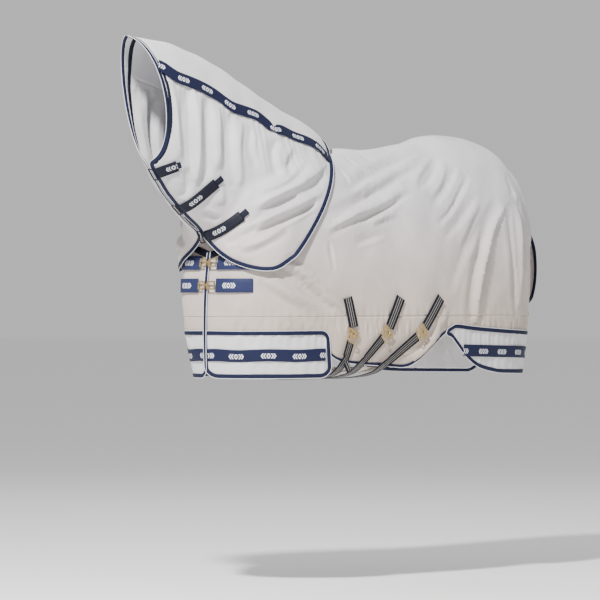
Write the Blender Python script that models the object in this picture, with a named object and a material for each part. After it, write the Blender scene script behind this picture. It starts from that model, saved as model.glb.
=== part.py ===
"""A horse's fly sheet in its worn shape: body sheet, detachable neck cover, tail flap, belly flap and closures.

Units are metres. The origin is where the sheet rests on the withers, +Z is up, -X is towards the head,
-Y is the horse's near (left) side, where everything fastens, and +Y is its off side.
"""

import math

import bmesh
import bpy
from mathutils import Matrix, Vector
from mathutils.bvhtree import BVHTree

# ---------------------------------------------------------------- driving sizes

RUG_LENGTH = 1.60  # chest to rear edge, straight
RUG_WIDTH = 0.62  # across the barrel
RUG_DROP = 0.855  # withers down to the hem
NECK_LENGTH = 1.03  # withers to poll, measured level
NECK_WIDTH = 0.24  # across the neck behind the ears

CLOTH = 0.002  # mesh cloth and webbing, as a solid
TRIM = 0.0012  # woven tape and binding
LAYER_GAP = 0.0015  # between a layer and what it lies on
SEAM_GAP = 0.0008  # between two panels that are sewn edge to edge
CLOSE_GAP = 0.0006  # between hard parts that lie against each other

HEM_BAND = 0.15  # height of the hem bands below their piping
SKIRT = 0.065  # height of the strip between the long seam and that piping
TAPE_WIDTH = 0.05  # woven tape on the hem bands
TAPE_RISE = 0.055  # from the hem up to the tape
HEM_CORNER = 0.05  # radius of the hem bands' lower corners
COLLAR_WIDTHS = (0.028, 0.055)  # navy facing along the neck opening, at the chest and above it
FACING_RIB = 0.4  # how far round the chest its inner facing reaches

NECK_CLEARANCE = 0.012  # neck cover above the body sheet
NECK_TAPE_DROP = 0.185  # from the crest down to the neck tape
NECK_TAPE_WIDTH = 0.045

STRAP_WIDTH = 0.045  # surcingle webbing
STRAP_TOP = 0.285  # hem up to the sewn end of the upper straps
HOOK_RISE = 0.165  # hem up to the surcingle plates
PLATE_LENGTH = 0.026
PLATE_WIDTH = 0.056
METAL = 0.0025  # stamped plates
SLOT_LENGTH = 0.012
SLOT_MARGIN = 0.007

PATCH_HEIGHT = 0.052  # navy patches that carry the chest clips
PATCH_TOPS = (0.355, 0.438)  # hem up to the top of each pair of patches
CLIP_WIRE = 0.0045  # brass wire of the chest rings

FLAP_LENGTH = 0.42  # tail flap
FLAP_WIDTH = 0.30
BELLY_WIDTH = 0.30  # belly flap, along the horse

TAB_WIDTH = 0.042  # neck closures
TAB_LENGTHS = (0.085, 0.145, 0.15)
TAB_RIBS = (0.43, 1.98, 3.08)  # where they lie along the neck
TAB_LEANS = (0.45, 0.30, 0.25)  # how many ribs back each one leans by its tip
TAB_LIFT = 0.009  # above the cover's middle surface

RING_WIDTH = 0.042  # leg-strap rings
RING_HEIGHT = 0.030
RING_RIM = 0.006
RING_PLATE = 0.004

NEAR, OFF = -1, 1

# ---------------------------------------------------------------- the form the cloth lies on

# Each rib is a curve from the neckline or spine down to the hem: its top, two handles and its foot.
# Y is measured outwards, so one list serves both sides.
RUG_RIBS = (
    ((-0.62, 0.0, -0.40), (-0.645, 0.0, -0.52), (-0.647, 0.0, -0.70), (-0.635, 0.0, -0.86)),
    ((-0.585, 0.12, -0.36), (-0.665, 0.155, -0.50), (-0.61, 0.14, -0.70), (-0.58, 0.125, -0.86)),
    ((-0.47, 0.185, -0.27), (-0.54, 0.25, -0.40), (-0.48, 0.26, -0.65), (-0.44, 0.245, -0.86)),
    ((-0.32, 0.195, -0.17), (-0.35, 0.27, -0.30), (-0.30, 0.29, -0.60), (-0.28, 0.282, -0.86)),
    ((-0.17, 0.15, -0.08), (-0.17, 0.26, -0.16), (-0.15, 0.31, -0.50), (-0.14, 0.295, -0.86)),
    ((-0.05, 0.07, -0.02), (-0.04, 0.23, -0.08), (-0.02, 0.33, -0.42), (-0.02, 0.30, -0.86)),
    ((0.04, 0.0, 0.0), (0.04, 0.20, -0.005), (0.08, 0.345, -0.38), (0.08, 0.305, -0.86)),
    ((0.20, 0.0, 0.0), (0.20, 0.23, -0.005), (0.22, 0.36, -0.36), (0.22, 0.31, -0.86)),
    ((0.40, 0.0, 0.03), (0.40, 0.25, 0.024), (0.42, 0.345, -0.34), (0.42, 0.305, -0.86)),
    ((0.58, 0.0, 0.068), (0.58, 0.27, 0.06), (0.60, 0.33, -0.30), (0.60, 0.295, -0.86)),
    ((0.76, 0.0, 0.048), (0.78, 0.27, 0.038), (0.81, 0.31, -0.29), (0.78, 0.265, -0.86)),
    ((0.89, 0.0, -0.035), (0.93, 0.21, -0.05), (0.955, 0.235, -0.35), (0.895, 0.19, -0.86)),
    ((0.965, 0.0, -0.15), (1.01, 0.10, -0.18), (1.02, 0.13, -0.45), (0.95, 0.10, -0.86)),
)
NECK_RIBS = (
    ((-1.03, 0.0, 0.375), (-0.96, 0.14, 0.34), (-0.88, 0.145, -0.06), (-0.93, 0.0, -0.085)),
    ((-0.82, 0.0, 0.352), (-0.81, 0.155, 0.33), (-0.86, 0.16, -0.15), (-0.865, 0.0, -0.165)),
    ((-0.60, 0.0, 0.283), (-0.62, 0.165, 0.26), (-0.79, 0.18, -0.24), (-0.78, 0.0, -0.245)),
    ((-0.40, 0.0, 0.188), (-0.43, 0.19, 0.17), (-0.68, 0.23, -0.33), (-0.665, 0.0, -0.335)),
    ((-0.25, 0.0, 0.125), (-0.29, 0.21, 0.11), (-0.62, 0.27, -0.40), (-0.635, 0.14, -0.43)),
    ((-0.14, 0.0, 0.083), (-0.17, 0.20, 0.063), (-0.45, 0.28, -0.30), (-0.545, 0.24, -0.46)),
    ((-0.062, 0.0, 0.041), (-0.082, 0.13, 0.015), (-0.235, 0.25, -0.22), (-0.45, 0.265, -0.415)),
)
FORM_LENGTH, FORM_WIDTH, FORM_DROP = 1.60, 0.62, 0.855  # the sizes the ribs were drawn at
FORM_NECK_LENGTH, FORM_NECK_WIDTH = 1.03, 0.24

# Rise of a hem above the lowest hem, against distance from the withers.
SIDE_HEM = (
    (-0.31, 0.12), (-0.285, 0.10), (-0.25, 0.065), (-0.18, 0.047), (0.0, 0.035), (0.10, 0.03), (0.165, 0.055),
    (0.245, 0.112), (0.32, 0.16), (0.36, 0.172), (0.515, 0.16), (0.75, 0.147), (1.0, 0.138),
)
BAND_HEM = ((0.31, 0.153), (0.35, 0.146), (0.39, 0.113), (0.445, 0.067), (0.515, 0.03), (0.60, 0.012), (0.70, 0.004), (1.0, 0.0))

SHOULDER_RIB = 3.0  # the seam between the front and body panels
COLUMN = 0.375  # the sheets' columns are this many ribs apart, so that layers follow each other
ARCH_RIB = 7.5  # where the rear hem band begins
LAST_RIB = len(RUG_RIBS) - 1
LAST_NECK_RIB = len(NECK_RIBS) - 1
HEM_Z = -RUG_DROP


def catmull(points, at):
    """The point at a fractional index along a smooth line through the points."""
    i = min(max(int(at), 0), len(points) - 2)
    f = at - i
    b, c = points[i], points[i + 1]
    a = points[i - 1] if i > 0 else b * 2 - c
    d = points[i + 2] if i + 2 < len(points) else c * 2 - b
    return 0.5 * (b * 2 + (c - a) * f + (a * 2 - b * 5 + c * 4 - d) * f**2 + (b * 3 - a - c * 3 + d) * f**3)


def sized(ribs, length, width, drop):
    """The ribs' control points at the sizes asked for, as four lines along the horse."""
    return [
        [Vector((p[0] * length, p[1] * width, p[2] * drop)) for p in (rib[k] for rib in ribs)] for k in range(4)
    ]


RUG = sized(RUG_RIBS, RUG_LENGTH / FORM_LENGTH, RUG_WIDTH / FORM_WIDTH, RUG_DROP / FORM_DROP)
NECK = sized(NECK_RIBS, NECK_LENGTH / FORM_NECK_LENGTH, NECK_WIDTH / FORM_NECK_WIDTH, RUG_DROP / FORM_DROP)


def along_rib(form, u, v):
    """The point a share v down the rib at u, on the off side."""
    top, upper, lower, foot = (catmull(line, u) for line in form)
    top.y, foot.y = max(0.0, top.y), max(0.0, foot.y)
    w = 1 - v
    return top * w**3 + upper * (3 * w * w * v) + lower * (3 * w * v * v) + foot * v**3


def on_form(form, u, v, side, lift=0.0):
    """A point on one side of a form, lifted off it along its outward normal."""
    point = along_rib(form, u, v)
    if lift:
        step = 0.004
        last = len(form[0]) - 1
        across = along_rib(form, min(u + step, last), v) - along_rib(form, max(u - step, 0), v)
        down = along_rib(form, u, min(v + step, 1)) - along_rib(form, u, max(v - step, 0))
        point = point + across.cross(down).normalized() * lift
    return Vector((point.x, point.y * side, point.z))


def bisect(value, low, high, rounds=26):
    """Where a falling function of one number crosses zero."""
    for _ in range(rounds):
        middle = (low + high) / 2
        if value(middle) > 0:
            low = middle
        else:
            high = middle
    return (low + high) / 2


def level(u, z):
    """How far down the body sheet's rib at u the height z is."""
    return bisect(lambda v: along_rib(RUG, u, v).z - z, 0.0, 1.0)


def spot(x, z):
    """The rib and the share down it of a point on the sheet's side, from its distance and height."""
    u = bisect(lambda at: x - along_rib(RUG, at, level(at, z)).x, 0.0, LAST_RIB, 20)
    return u, level(u, z)


def drop_share(form, u, distance):
    """How far down a rib a distance from its top is, measured on the cloth."""
    steps = 60
    gone, before = 0.0, along_rib(form, u, 0)
    for k in range(1, steps + 1):
        here = along_rib(form, u, k / steps)
        gone += (here - before).length
        if gone >= distance:
            return (k - (gone - distance) / (here - before).length) / steps
        before = here
    return 1.0


def profile(points):
    """A smooth curve of height against distance, read by distance."""
    line = [catmull([Vector((x, z, 0)) for x, z in points], k / 8) for k in range(8 * (len(points) - 1) + 1)]

    def read(x):
        x = x * FORM_LENGTH / RUG_LENGTH
        for a, b in zip(line, line[1:]):
            if x <= b.x:
                return a.y + (b.y - a.y) * max(0.0, x - a.x) / max(b.x - a.x, 1e-9)
        return line[-1].y

    return read


side_hem, band_hem = profile(SIDE_HEM), profile(BAND_HEM)


def foot_x(u):
    return along_rib(RUG, u, 1).x


# ---------------------------------------------------------------- materials and building

MATERIALS = {
    "mesh_cloth": ((0.78, 0.76, 0.74), 0.6, 0.0),
    "navy_tape": ((0.05, 0.06, 0.14), 0.55, 0.0),
    "navy_lining": ((0.035, 0.04, 0.09), 0.75, 0.0),
    "striped_webbing": ((0.10, 0.10, 0.13), 0.6, 0.0),
    "closure_tape": ((0.03, 0.033, 0.06), 0.65, 0.0),
    "gilt_metal": ((0.80, 0.62, 0.30), 0.25, 1.0),
    "black_plastic": ((0.02, 0.02, 0.022), 0.4, 0.0),
}


def material(slot):
    made = bpy.data.materials.get(slot)
    if made is None:
        colour, roughness, metallic = MATERIALS[slot]
        made = bpy.data.materials.new(slot)
        made.use_nodes = True
        shader = made.node_tree.nodes["Principled BSDF"]
        shader.inputs["Base Color"].default_value = (*colour, 1)
        shader.inputs["Roughness"].default_value = roughness
        shader.inputs["Metallic"].default_value = metallic
    return made


def add(name, bm, slot, matrix=None):
    """A finished bmesh as a named object with its material."""
    bmesh.ops.recalc_face_normals(bm, faces=bm.faces)
    mesh = bpy.data.meshes.new(name)
    bm.to_mesh(mesh)
    bm.free()
    mesh.materials.append(material(slot))
    obj = bpy.data.objects.new(name, mesh)
    bpy.context.scene.collection.objects.link(obj)
    if matrix is not None:
        obj.matrix_world = matrix
    return obj


def sheet(name, rows, columns, place, slot, thickness=CLOTH, outward=None):
    """A sheet of cloth: a grid laid out by place(share across, share down), thickened outwards by Solidify."""
    bm = bmesh.new()
    bmesh.ops.create_grid(bm, x_segments=columns, y_segments=rows, size=0.5)
    for vert in bm.verts:
        vert.co = place(vert.co.x + 0.5, vert.co.y + 0.5)
    bm.normal_update()
    middle = max(bm.faces, key=lambda face: face.calc_area())
    centre = outward if outward is not None else Vector((middle.calc_center_median().x, 0, -0.35))
    if middle.normal.dot(middle.calc_center_median() - centre) < 0:
        bmesh.ops.reverse_faces(bm, faces=bm.faces)
    mesh = bpy.data.meshes.new(name)
    bm.to_mesh(mesh)
    bm.free()
    mesh.materials.append(material(slot))
    obj = bpy.data.objects.new(name, mesh)
    bpy.context.scene.collection.objects.link(obj)
    solid = obj.modifiers.new("Thickness", "SOLIDIFY")
    solid.thickness = thickness
    solid.offset = 1.0
    solid.use_even_offset = False
    return obj


def inset(place, gap=SEAM_GAP / 2, step=0.02):
    """A grid function whose four edges are drawn in by half a seam, so that neighbours don't touch."""

    def shifted(s, t):
        point = place(s, t)
        for value, inner in ((s, lambda d: place(s + d, t)), (t, lambda d: place(s, t + d))):
            if value < 1e-6:
                point = point + (inner(step) - place(s, t)).normalized() * gap
            elif value > 1 - 1e-6:
                point = point + (inner(-step) - place(s, t)).normalized() * gap
        return point

    return shifted


def mix(a, b, f):
    return a + (b - a) * f


# ---------------------------------------------------------------- body sheet


def wall(side, ribs, top, foot, lift=0.0):
    """A grid function for a panel between two ribs and two edges, each edge a share down the rib at u."""

    def place(s, t):
        u = mix(ribs[0], ribs[1], s)
        return on_form(RUG, u, mix(top(u), foot(u), t), side, lift)

    return inset(place)


def cloth_length(u0, u1, steps=24):
    """Length along the hem between two ribs."""
    points = [along_rib(RUG, mix(u0, u1, k / steps), 0.99) for k in range(steps + 1)]
    return sum((b - a).length for a, b in zip(points, points[1:]))


def corner_rise(distance):
    """How far a rounded corner lifts the hem, at a distance from the band's end."""
    if distance >= HEM_CORNER:
        return 0.0
    return HEM_CORNER - math.sqrt(max(0.0, HEM_CORNER**2 - (HEM_CORNER - distance) ** 2))


def front_band_foot(u):
    front = cloth_length(0.0, u)
    back = cloth_length(u, SHOULDER_RIB)
    return level(u, HEM_Z + corner_rise(front + 0.004) + corner_rise(back + 0.004))


def rear_band_foot(u):
    back = cloth_length(u, LAST_RIB)
    return level(u, HEM_Z + max(band_hem(foot_x(u)), corner_rise(back + 0.004)))


def side_hem_share(u):
    return level(u, HEM_Z + side_hem(foot_x(u)))


def at_height(rise):
    return lambda u: level(u, HEM_Z + rise)


def side_panels(side, name):
    """The cloth of one side: front, body and lower panels, the two hem bands and their tapes."""
    seam, piping = at_height(HEM_BAND + SKIRT), at_height(HEM_BAND)
    neckline = lambda u: 0.0
    sheet(f"{name}_front_panel", 8, 8, wall(side, (0, SHOULDER_RIB), neckline, piping), "mesh_cloth")
    sheet(f"{name}_body_panel", 12, 24, wall(side, (SHOULDER_RIB, LAST_RIB), neckline, seam), "mesh_cloth")
    sheet(f"{name}_lower_panel", 3, 24, wall(side, (SHOULDER_RIB, LAST_RIB), seam, side_hem_share), "mesh_cloth")
    sheet(f"{name}_front_hem", 3, 12, wall(side, (0, SHOULDER_RIB - 0.03), piping, front_band_foot), "mesh_cloth")
    sheet(f"{name}_rear_hem", 3, 12, wall(side, (ARCH_RIB, LAST_RIB), side_hem_share, rear_band_foot), "mesh_cloth")
    above = CLOTH + LAYER_GAP
    low, high = at_height(TAPE_RISE), at_height(TAPE_RISE + TAPE_WIDTH)
    sheet(
        f"{name}_front_tape", 1, 12, wall(side, (0.04, SHOULDER_RIB - 0.15), high, low, above), "navy_tape", TRIM
    )
    slope = lambda rise: lambda u: level(u, HEM_Z + rise - 0.02 * (u - 8) / 4)
    sheet(
        f"{name}_rear_tape", 1, 12,
        wall(side, (8.45, LAST_RIB - 0.04), slope(TAPE_RISE + TAPE_WIDTH), slope(TAPE_RISE), above),
        "navy_tape", TRIM,
    )


def collar(side, name):
    """The navy facing that lines the neck opening, from the chest to the withers."""

    def width(u):
        return mix(*COLLAR_WIDTHS, min(1.0, max(0.0, u - 1.4)))

    for part, ribs in (("chest", (COLUMN, SHOULDER_RIB)), ("shoulder", (SHOULDER_RIB, COLUMN * 11))):
        place = wall(side, ribs, lambda u: 0.012, lambda u: drop_share(RUG, u, width(u)), CLOTH + LAYER_GAP)
        sheet(f"{name}_{part}_collar", 2, 7, place, "navy_lining", TRIM)


def chest_facing():
    """The inner strip that closes the chest behind the two front edges. It is sewn to the off side."""
    inside = 0.006

    def place(s, t):
        side = NEAR if s < 0.5 else OFF
        point = on_form(RUG, FACING_RIB * abs(2 * s - 1), mix(0.03, 0.985, t), side)
        return point + Vector((inside, 0, 0))

    sheet("chest_facing", 8, 4, place, "mesh_cloth", CLOTH)


# ---------------------------------------------------------------- tail flap and belly flap

TAIL_HINGE = Vector((0.988 * RUG_LENGTH / FORM_LENGTH, 0.0, -0.172 * RUG_DROP / FORM_DROP))


def tail_flap():
    """The flap over the tail, hung from the dock and curved round it."""
    reach = 0.085  # how far it stands out half way down

    def place(s, t):
        across = 2 * s - 1
        half = FLAP_WIDTH / 2 * mix(0.34, 1.0, min(1.0, t * 2.6))
        z = TAIL_HINGE.z - 0.003 - FLAP_LENGTH * t + 0.03 * t**4 * across**4
        bulge = reach * math.sin(math.pi * min(1.0, t * 0.72 + 0.02))
        x = TAIL_HINGE.x + 0.003 + bulge - 0.045 * across**2 * min(1.0, t * 3)
        return Vector((x, half * across, z))

    return sheet("tail_flap", 8, 10, place, "mesh_cloth", CLOTH, outward=Vector((0, 0, TAIL_HINGE.z - 0.2)))


def belly_line(x, share, rise=0.0):
    """The loop under the belly from the near side to the off side, at a distance from the withers."""
    angle = math.pi * share
    half = along_rib(RUG, spot(x, HEM_Z + 0.03)[0], 1).y - 0.016
    sag = 0.055
    return Vector((x, -half * math.cos(angle), HEM_Z + 0.04 - sag * math.sin(angle) ** 0.7 + rise))


def belly_flap():
    """The flap sewn inside the off side and drawn under the belly to the near side."""
    start = -0.275 * RUG_LENGTH / FORM_LENGTH

    def place(s, t):
        point = belly_line(start + BELLY_WIDTH * s, mix(0.10, 0.96, t), 0.010)
        return point + Vector((0, 0, 0.5 * max(0.0, t - 0.9)))

    sheet("belly_flap", 14, 6, place, "mesh_cloth", CLOTH, outward=Vector((0, 0, 0)))


# ---------------------------------------------------------------- surcingles

# Name, and distances from the withers of the strap's sewn top, its plate and where it passes under the hem.
SURCINGLES = (("front", -0.195, -0.168, -0.215), ("middle", 0.075, 0.012, -0.135), ("rear", 0.285, 0.195, -0.02))
STRAP_LIFT = CLOTH + LAYER_GAP
HOOK_LIFT = 0.0075  # the plates stand off the cloth, so the hook's lug has room behind the slot
HINGE_DROP = 0.008  # the straps bend this far below the side's hem


def strip(name, line, width, lift, thickness, slot, segments, ends=(0.0, 1.0)):
    """A strap lying on the near side, along a straight line seen from the side."""
    (x0, z0), (x1, z1) = line
    along = Vector((x1 - x0, z1 - z0)).normalized()
    cross = Vector((-along.y, along.x)) * width / 2

    def place(s, t):
        f = mix(ends[0], ends[1], t)
        x = mix(x0, x1, f) + cross.x * (2 * s - 1)
        z = mix(z0, z1, f) + cross.y * (2 * s - 1)
        return on_form(RUG, *spot(x, z), NEAR, lift)

    return sheet(name, segments, 2, place, slot, thickness)


def local_frame(x, z, towards, lift):
    """A frame on the near side: X down the strap, Y across it, Z outwards."""
    here = on_form(RUG, *spot(x, z), NEAR)
    ahead = on_form(RUG, *spot(*towards), NEAR)
    outward = (on_form(RUG, *spot(x, z), NEAR, 0.01) - here).normalized()
    down = ahead - here
    down = (down - outward * down.dot(outward)).normalized()
    matrix = Matrix((down, outward.cross(down), outward)).transposed().to_4x4()
    matrix.translation = here + outward * lift
    return matrix


def box(bm, low, high):
    """A box between two corners, added to a bmesh."""
    size, centre = Vector(high) - Vector(low), (Vector(high) + Vector(low)) / 2
    made = bmesh.ops.create_cube(bm, size=1.0)
    bmesh.ops.scale(bm, vec=size, verts=made["verts"])
    bmesh.ops.translate(bm, vec=centre, verts=made["verts"])
    return made["verts"]


def plate(name, outline, holes, thickness, slot, matrix, bevel=0.0006):
    """A stamped plate in the XY plane: an outline of points, with holes, extruded up by its thickness."""
    curve = bpy.data.curves.new(name, "CURVE")
    curve.dimensions = "2D"
    curve.fill_mode = "BOTH"
    curve.extrude = thickness / 2
    for ring in (outline, *holes):
        spline = curve.splines.new("POLY")
        spline.points.add(len(ring) - 1)
        for point, (x, y) in zip(spline.points, ring):
            point.co = (x, y, 0, 1)
        spline.use_cyclic_u = True
    made = bpy.data.objects.new(name + "_curve", curve)
    mesh = bpy.data.meshes.new_from_object(made)
    mesh.name = name
    mesh.transform(Matrix.Translation((0, 0, thickness / 2)))
    mesh.materials.clear()
    mesh.materials.append(material(slot))
    bpy.data.objects.remove(made)
    bpy.data.curves.remove(curve)
    bm = bmesh.new()
    bm.from_mesh(mesh)
    bmesh.ops.remove_doubles(bm, verts=bm.verts, dist=1e-6)
    bmesh.ops.recalc_face_normals(bm, faces=bm.faces)
    bm.to_mesh(mesh)
    bm.free()
    obj = bpy.data.objects.new(name, mesh)
    bpy.context.scene.collection.objects.link(obj)
    obj.matrix_world = matrix
    return obj


def rounded(x0, y0, x1, y1, radius, steps=3):
    """A rectangle's outline with rounded corners, counter-clockwise."""
    points = []
    for cx, cy, turn in (
        (x1 - radius, y1 - radius, 0), (x0 + radius, y1 - radius, 1),
        (x0 + radius, y0 + radius, 2), (x1 - radius, y0 + radius, 3),
    ):
        for k in range(steps + 1):
            angle = math.pi / 2 * (turn + k / steps)
            points.append((cx + radius * math.cos(angle), cy + radius * math.sin(angle)))
    return points


def slot_hole():
    """The slot in a surcingle plate, in the plate's own frame."""
    return SLOT_MARGIN, -PLATE_WIDTH / 2 + 0.01, SLOT_MARGIN + SLOT_LENGTH, PLATE_WIDTH / 2 - 0.01


def surcingle(name, top_x, plate_x, hem_x):
    """One surcingle: the sewn upper strap and its slotted plate, and the lower strap with its hook."""
    scale = RUG_LENGTH / FORM_LENGTH
    top_x, plate_x, hem_x = top_x * scale, plate_x * scale, hem_x * scale
    top_z, plate_z = HEM_Z + STRAP_TOP, HEM_Z + HOOK_RISE
    bend_z = HEM_Z + side_hem(hem_x) - HINGE_DROP
    strip(
        f"surcingle_{name}_upper_strap", ((top_x, top_z), (plate_x, plate_z + 0.006)), STRAP_WIDTH, STRAP_LIFT, CLOTH,
        "striped_webbing", 5,
    )
    frame = local_frame(plate_x, plate_z, (hem_x, bend_z), HOOK_LIFT)
    plate(
        f"surcingle_{name}_plate", rounded(0, -PLATE_WIDTH / 2, PLATE_LENGTH, PLATE_WIDTH / 2, 0.004),
        [rounded(*slot_hole(), 0.002)], METAL, "gilt_metal", frame,
    )
    hook(name, frame)
    reach = PLATE_LENGTH + 0.030
    start = frame @ Vector((reach, 0, 0))
    strip(
        f"surcingle_{name}_hook_strap", ((start.x, start.z), (hem_x, bend_z)), STRAP_WIDTH, STRAP_LIFT + 0.004, CLOTH,
        "striped_webbing", 6,
    )
    under_strap(name, hem_x, bend_z)


def hook(name, frame):
    """The hook on the lower strap: a flat tongue outside the plate, turned down through its slot."""
    above = METAL + CLOSE_GAP
    start, end, half = SLOT_MARGIN - 0.003, PLATE_LENGTH + 0.030, 0.012
    lug, tip = SLOT_MARGIN + 0.001, -0.0022
    profile = [
        (start, above), (lug, above), (lug, tip), (lug + 0.004, tip), (lug + 0.004, above), (end, above),
        (end, above + METAL), (start, above + METAL),
    ]
    bm = bmesh.new()
    rings = [[bm.verts.new((x, y, z)) for x, z in profile] for y in (-half, half)]
    bm.faces.new(rings[0])
    bm.faces.new(rings[1][::-1])
    for i in range(len(profile)):
        j = (i + 1) % len(profile)
        bm.faces.new((rings[0][j], rings[0][i], rings[1][i], rings[1][j]))
    add(f"surcingle_{name}_hook", bm, "gilt_metal", frame)


def under_strap(name, hem_x, bend_z):
    """The lower strap from the near side's hem, under the belly flap, to its sewn end on the off side."""
    end_x = hem_x - 0.03
    off_hem = HEM_Z + side_hem(end_x)
    near = on_form(RUG, *spot(hem_x, bend_z), NEAR, STRAP_LIFT + 0.005)
    rise = STRAP_TOP - 0.03
    line = [Vector((hem_x, near.y + 0.004, bend_z - 0.004))]
    line += [
        belly_line(mix(hem_x, end_x, share), share, -0.006) for share in (0.12, 0.3, 0.5, 0.7, 0.88)
    ]
    for z in (off_hem - 0.012, off_hem + 0.03, HEM_Z + 0.13, HEM_Z + rise):
        line.append(on_form(RUG, *spot(end_x, z), OFF, STRAP_LIFT + 0.004))
    count = len(line) - 1

    def place(s, t):
        point = catmull(line, t * count)
        return Vector((point.x + STRAP_WIDTH * (s - 0.5), point.y, point.z))

    sheet(
        f"surcingle_{name}_under_strap", 22, 1, place, "striped_webbing", CLOTH,
        outward=Vector((hem_x, 0, HEM_Z + 0.3)),
    )


# ---------------------------------------------------------------- chest clips

PATCH_LIFT = 0.0025
CLIP_LIFT = CLOTH + PATCH_LIFT + CLOTH + 0.001


def chest_patches():
    """Two navy patches each side of the chest, which carry the clips."""
    for side, name in ((NEAR, "left"), (OFF, "right")):
        for top, level_name in zip(PATCH_TOPS, ("lower", "upper")):
            place = wall(side, (COLUMN, COLUMN * 4), at_height(top), at_height(top - PATCH_HEIGHT), CLOTH + PATCH_LIFT)
            sheet(f"{name}_chest_patch_{level_name}", 4, 3, place, "navy_tape", CLOTH)


def chest_frame(rise):
    """A frame on the middle of the chest: X towards the off side, Y up, Z forwards and out."""
    v = level(0, HEM_Z + rise)
    here = on_form(RUG, 0, v, OFF)
    down = (along_rib(RUG, 0, v + 0.01) - along_rib(RUG, 0, v - 0.01)).normalized()
    outward = Vector((0, 1, 0)).cross(down)
    outward = outward if outward.x < 0 else -outward
    across = Vector((0, 1, 0))
    matrix = Matrix((across, outward.cross(across), outward)).transposed().to_4x4()
    matrix.translation = here + outward * CLIP_LIFT
    return matrix


CLIP_HALF = 0.016  # half the height of a chest clip
GATE_X = -0.002


def chest_clip(level_name, top):
    """One chest clip: the ring on the off side, the hook on the near side and the hook's sprung gate."""
    frame = chest_frame(top - PATCH_HEIGHT / 2)
    plate(
        f"chest_ring_{level_name}", rounded(0.002, -CLIP_HALF, 0.040, CLIP_HALF, 0.005),
        [rounded(0.0075, -CLIP_HALF + 0.0055, 0.034, CLIP_HALF - 0.0055, 0.003)], METAL, "gilt_metal", frame,
    )
    back = (-0.052, -0.012)
    plate(
        f"chest_hook_{level_name}",
        [
            (back[0], -CLIP_HALF), (back[1], -CLIP_HALF), (back[1] + 0.004, -0.006), (0.018, -0.006), (0.022, -0.002),
            (0.022, 0.006), (0.016, 0.006), (0.016, 0.0005), (back[1] + 0.006, 0.0005), (back[1] + 0.006, 0.006),
            (back[1], CLIP_HALF), (back[0], CLIP_HALF),
        ],
        [rounded(back[0] + 0.005, -CLIP_HALF + 0.005, back[1] - 0.008, CLIP_HALF - 0.005, 0.002)],
        METAL, "gilt_metal", frame @ Matrix.Translation((0, 0, METAL + CLOSE_GAP)),
    )


# ---------------------------------------------------------------- neck cover


def body_tree():
    """The body sheet's form, both sides, as a tree that gives the nearest point and normal."""
    bm = bmesh.new()
    across, down = 60, 30
    for side in (NEAR, OFF):
        rows = [
            [bm.verts.new(on_form(RUG, LAST_RIB * i / across, j / down - 0.1, side)) for j in range(down + 1)]
            for i in range(across + 1)
        ]
        for a, b in zip(rows, rows[1:]):
            for j in range(down):
                corners = (a[j], a[j + 1], b[j + 1], b[j])
                bm.faces.new(corners if side == NEAR else corners[::-1])
    bm.normal_update()
    tree = BVHTree.FromBMesh(bm)
    bm.free()
    return tree


BODY_TREE = None


def clear_of_body(point, gap=NECK_CLEARANCE):
    """The point, moved out of the body sheet where it would lie in it or too near it."""
    near, normal, _, distance = BODY_TREE.find_nearest(point)
    if near is None:
        return point
    inside = (point - near).dot(normal) < 0
    if distance < gap or (inside and distance < 0.12):
        return near + normal * gap
    return point


def neck_point(u, v, side, lift=0.0):
    return clear_of_body(on_form(NECK, u, v, side), NECK_CLEARANCE) if not lift else lifted_neck(u, v, side, lift)


def lifted_neck(u, v, side, lift):
    """A point above the neck cover's own surface."""
    step = 0.03
    base = neck_point(u, v, side)
    across = neck_point(min(u + step, LAST_NECK_RIB), v, side) - neck_point(max(u - step, 0), v, side)
    down = neck_point(u, min(v + step, 1), side) - neck_point(u, max(v - step, 0), side)
    normal = across.cross(down).normalized() * side
    return base + normal * lift


THROAT_GAP = 0.035  # share of a rib left open along the throat, where the tabs cross


def neck_foot(u):
    """The lower edge of the neck cover's sides: short of the throat, then along the lobe's edge."""
    return 1 - THROAT_GAP * min(1.0, max(0.0, 3.6 - u))


def neck_tape_share(u, below=0.0):
    return drop_share(NECK, u, NECK_TAPE_DROP + below)


def neck_cover():
    """The neck cover: a crest panel over the mane, two gathered side panels and the tapes on their seams."""

    def crest(s, t):
        across = 2 * t - 1
        u = LAST_NECK_RIB * s
        side = NEAR if across < 0 else OFF
        return neck_point(u, abs(across) * neck_tape_share(u), side)

    sheet("neck_crest_panel", 10, 24, inset(crest), "mesh_cloth", outward=Vector((-0.5, 0, 0)))
    for side, name in ((NEAR, "left"), (OFF, "right")):

        def panel(s, t, side=side):
            u = LAST_NECK_RIB * s
            return neck_point(u, mix(neck_tape_share(u), neck_foot(u), t), side)

        def tape(s, t, side=side):
            u = LAST_NECK_RIB * s
            return lifted_neck(u, neck_tape_share(u, NECK_TAPE_WIDTH * (t - 0.5)), side, CLOTH + 0.003)

        sheet(f"neck_{name}_panel", 14, 24, inset(panel), "mesh_cloth", outward=Vector((-0.5, 0, 0)))
        sheet(f"neck_{name}_tape", 2, 24, tape, "navy_tape", TRIM, outward=Vector((-0.5, 0, 0)))


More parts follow.
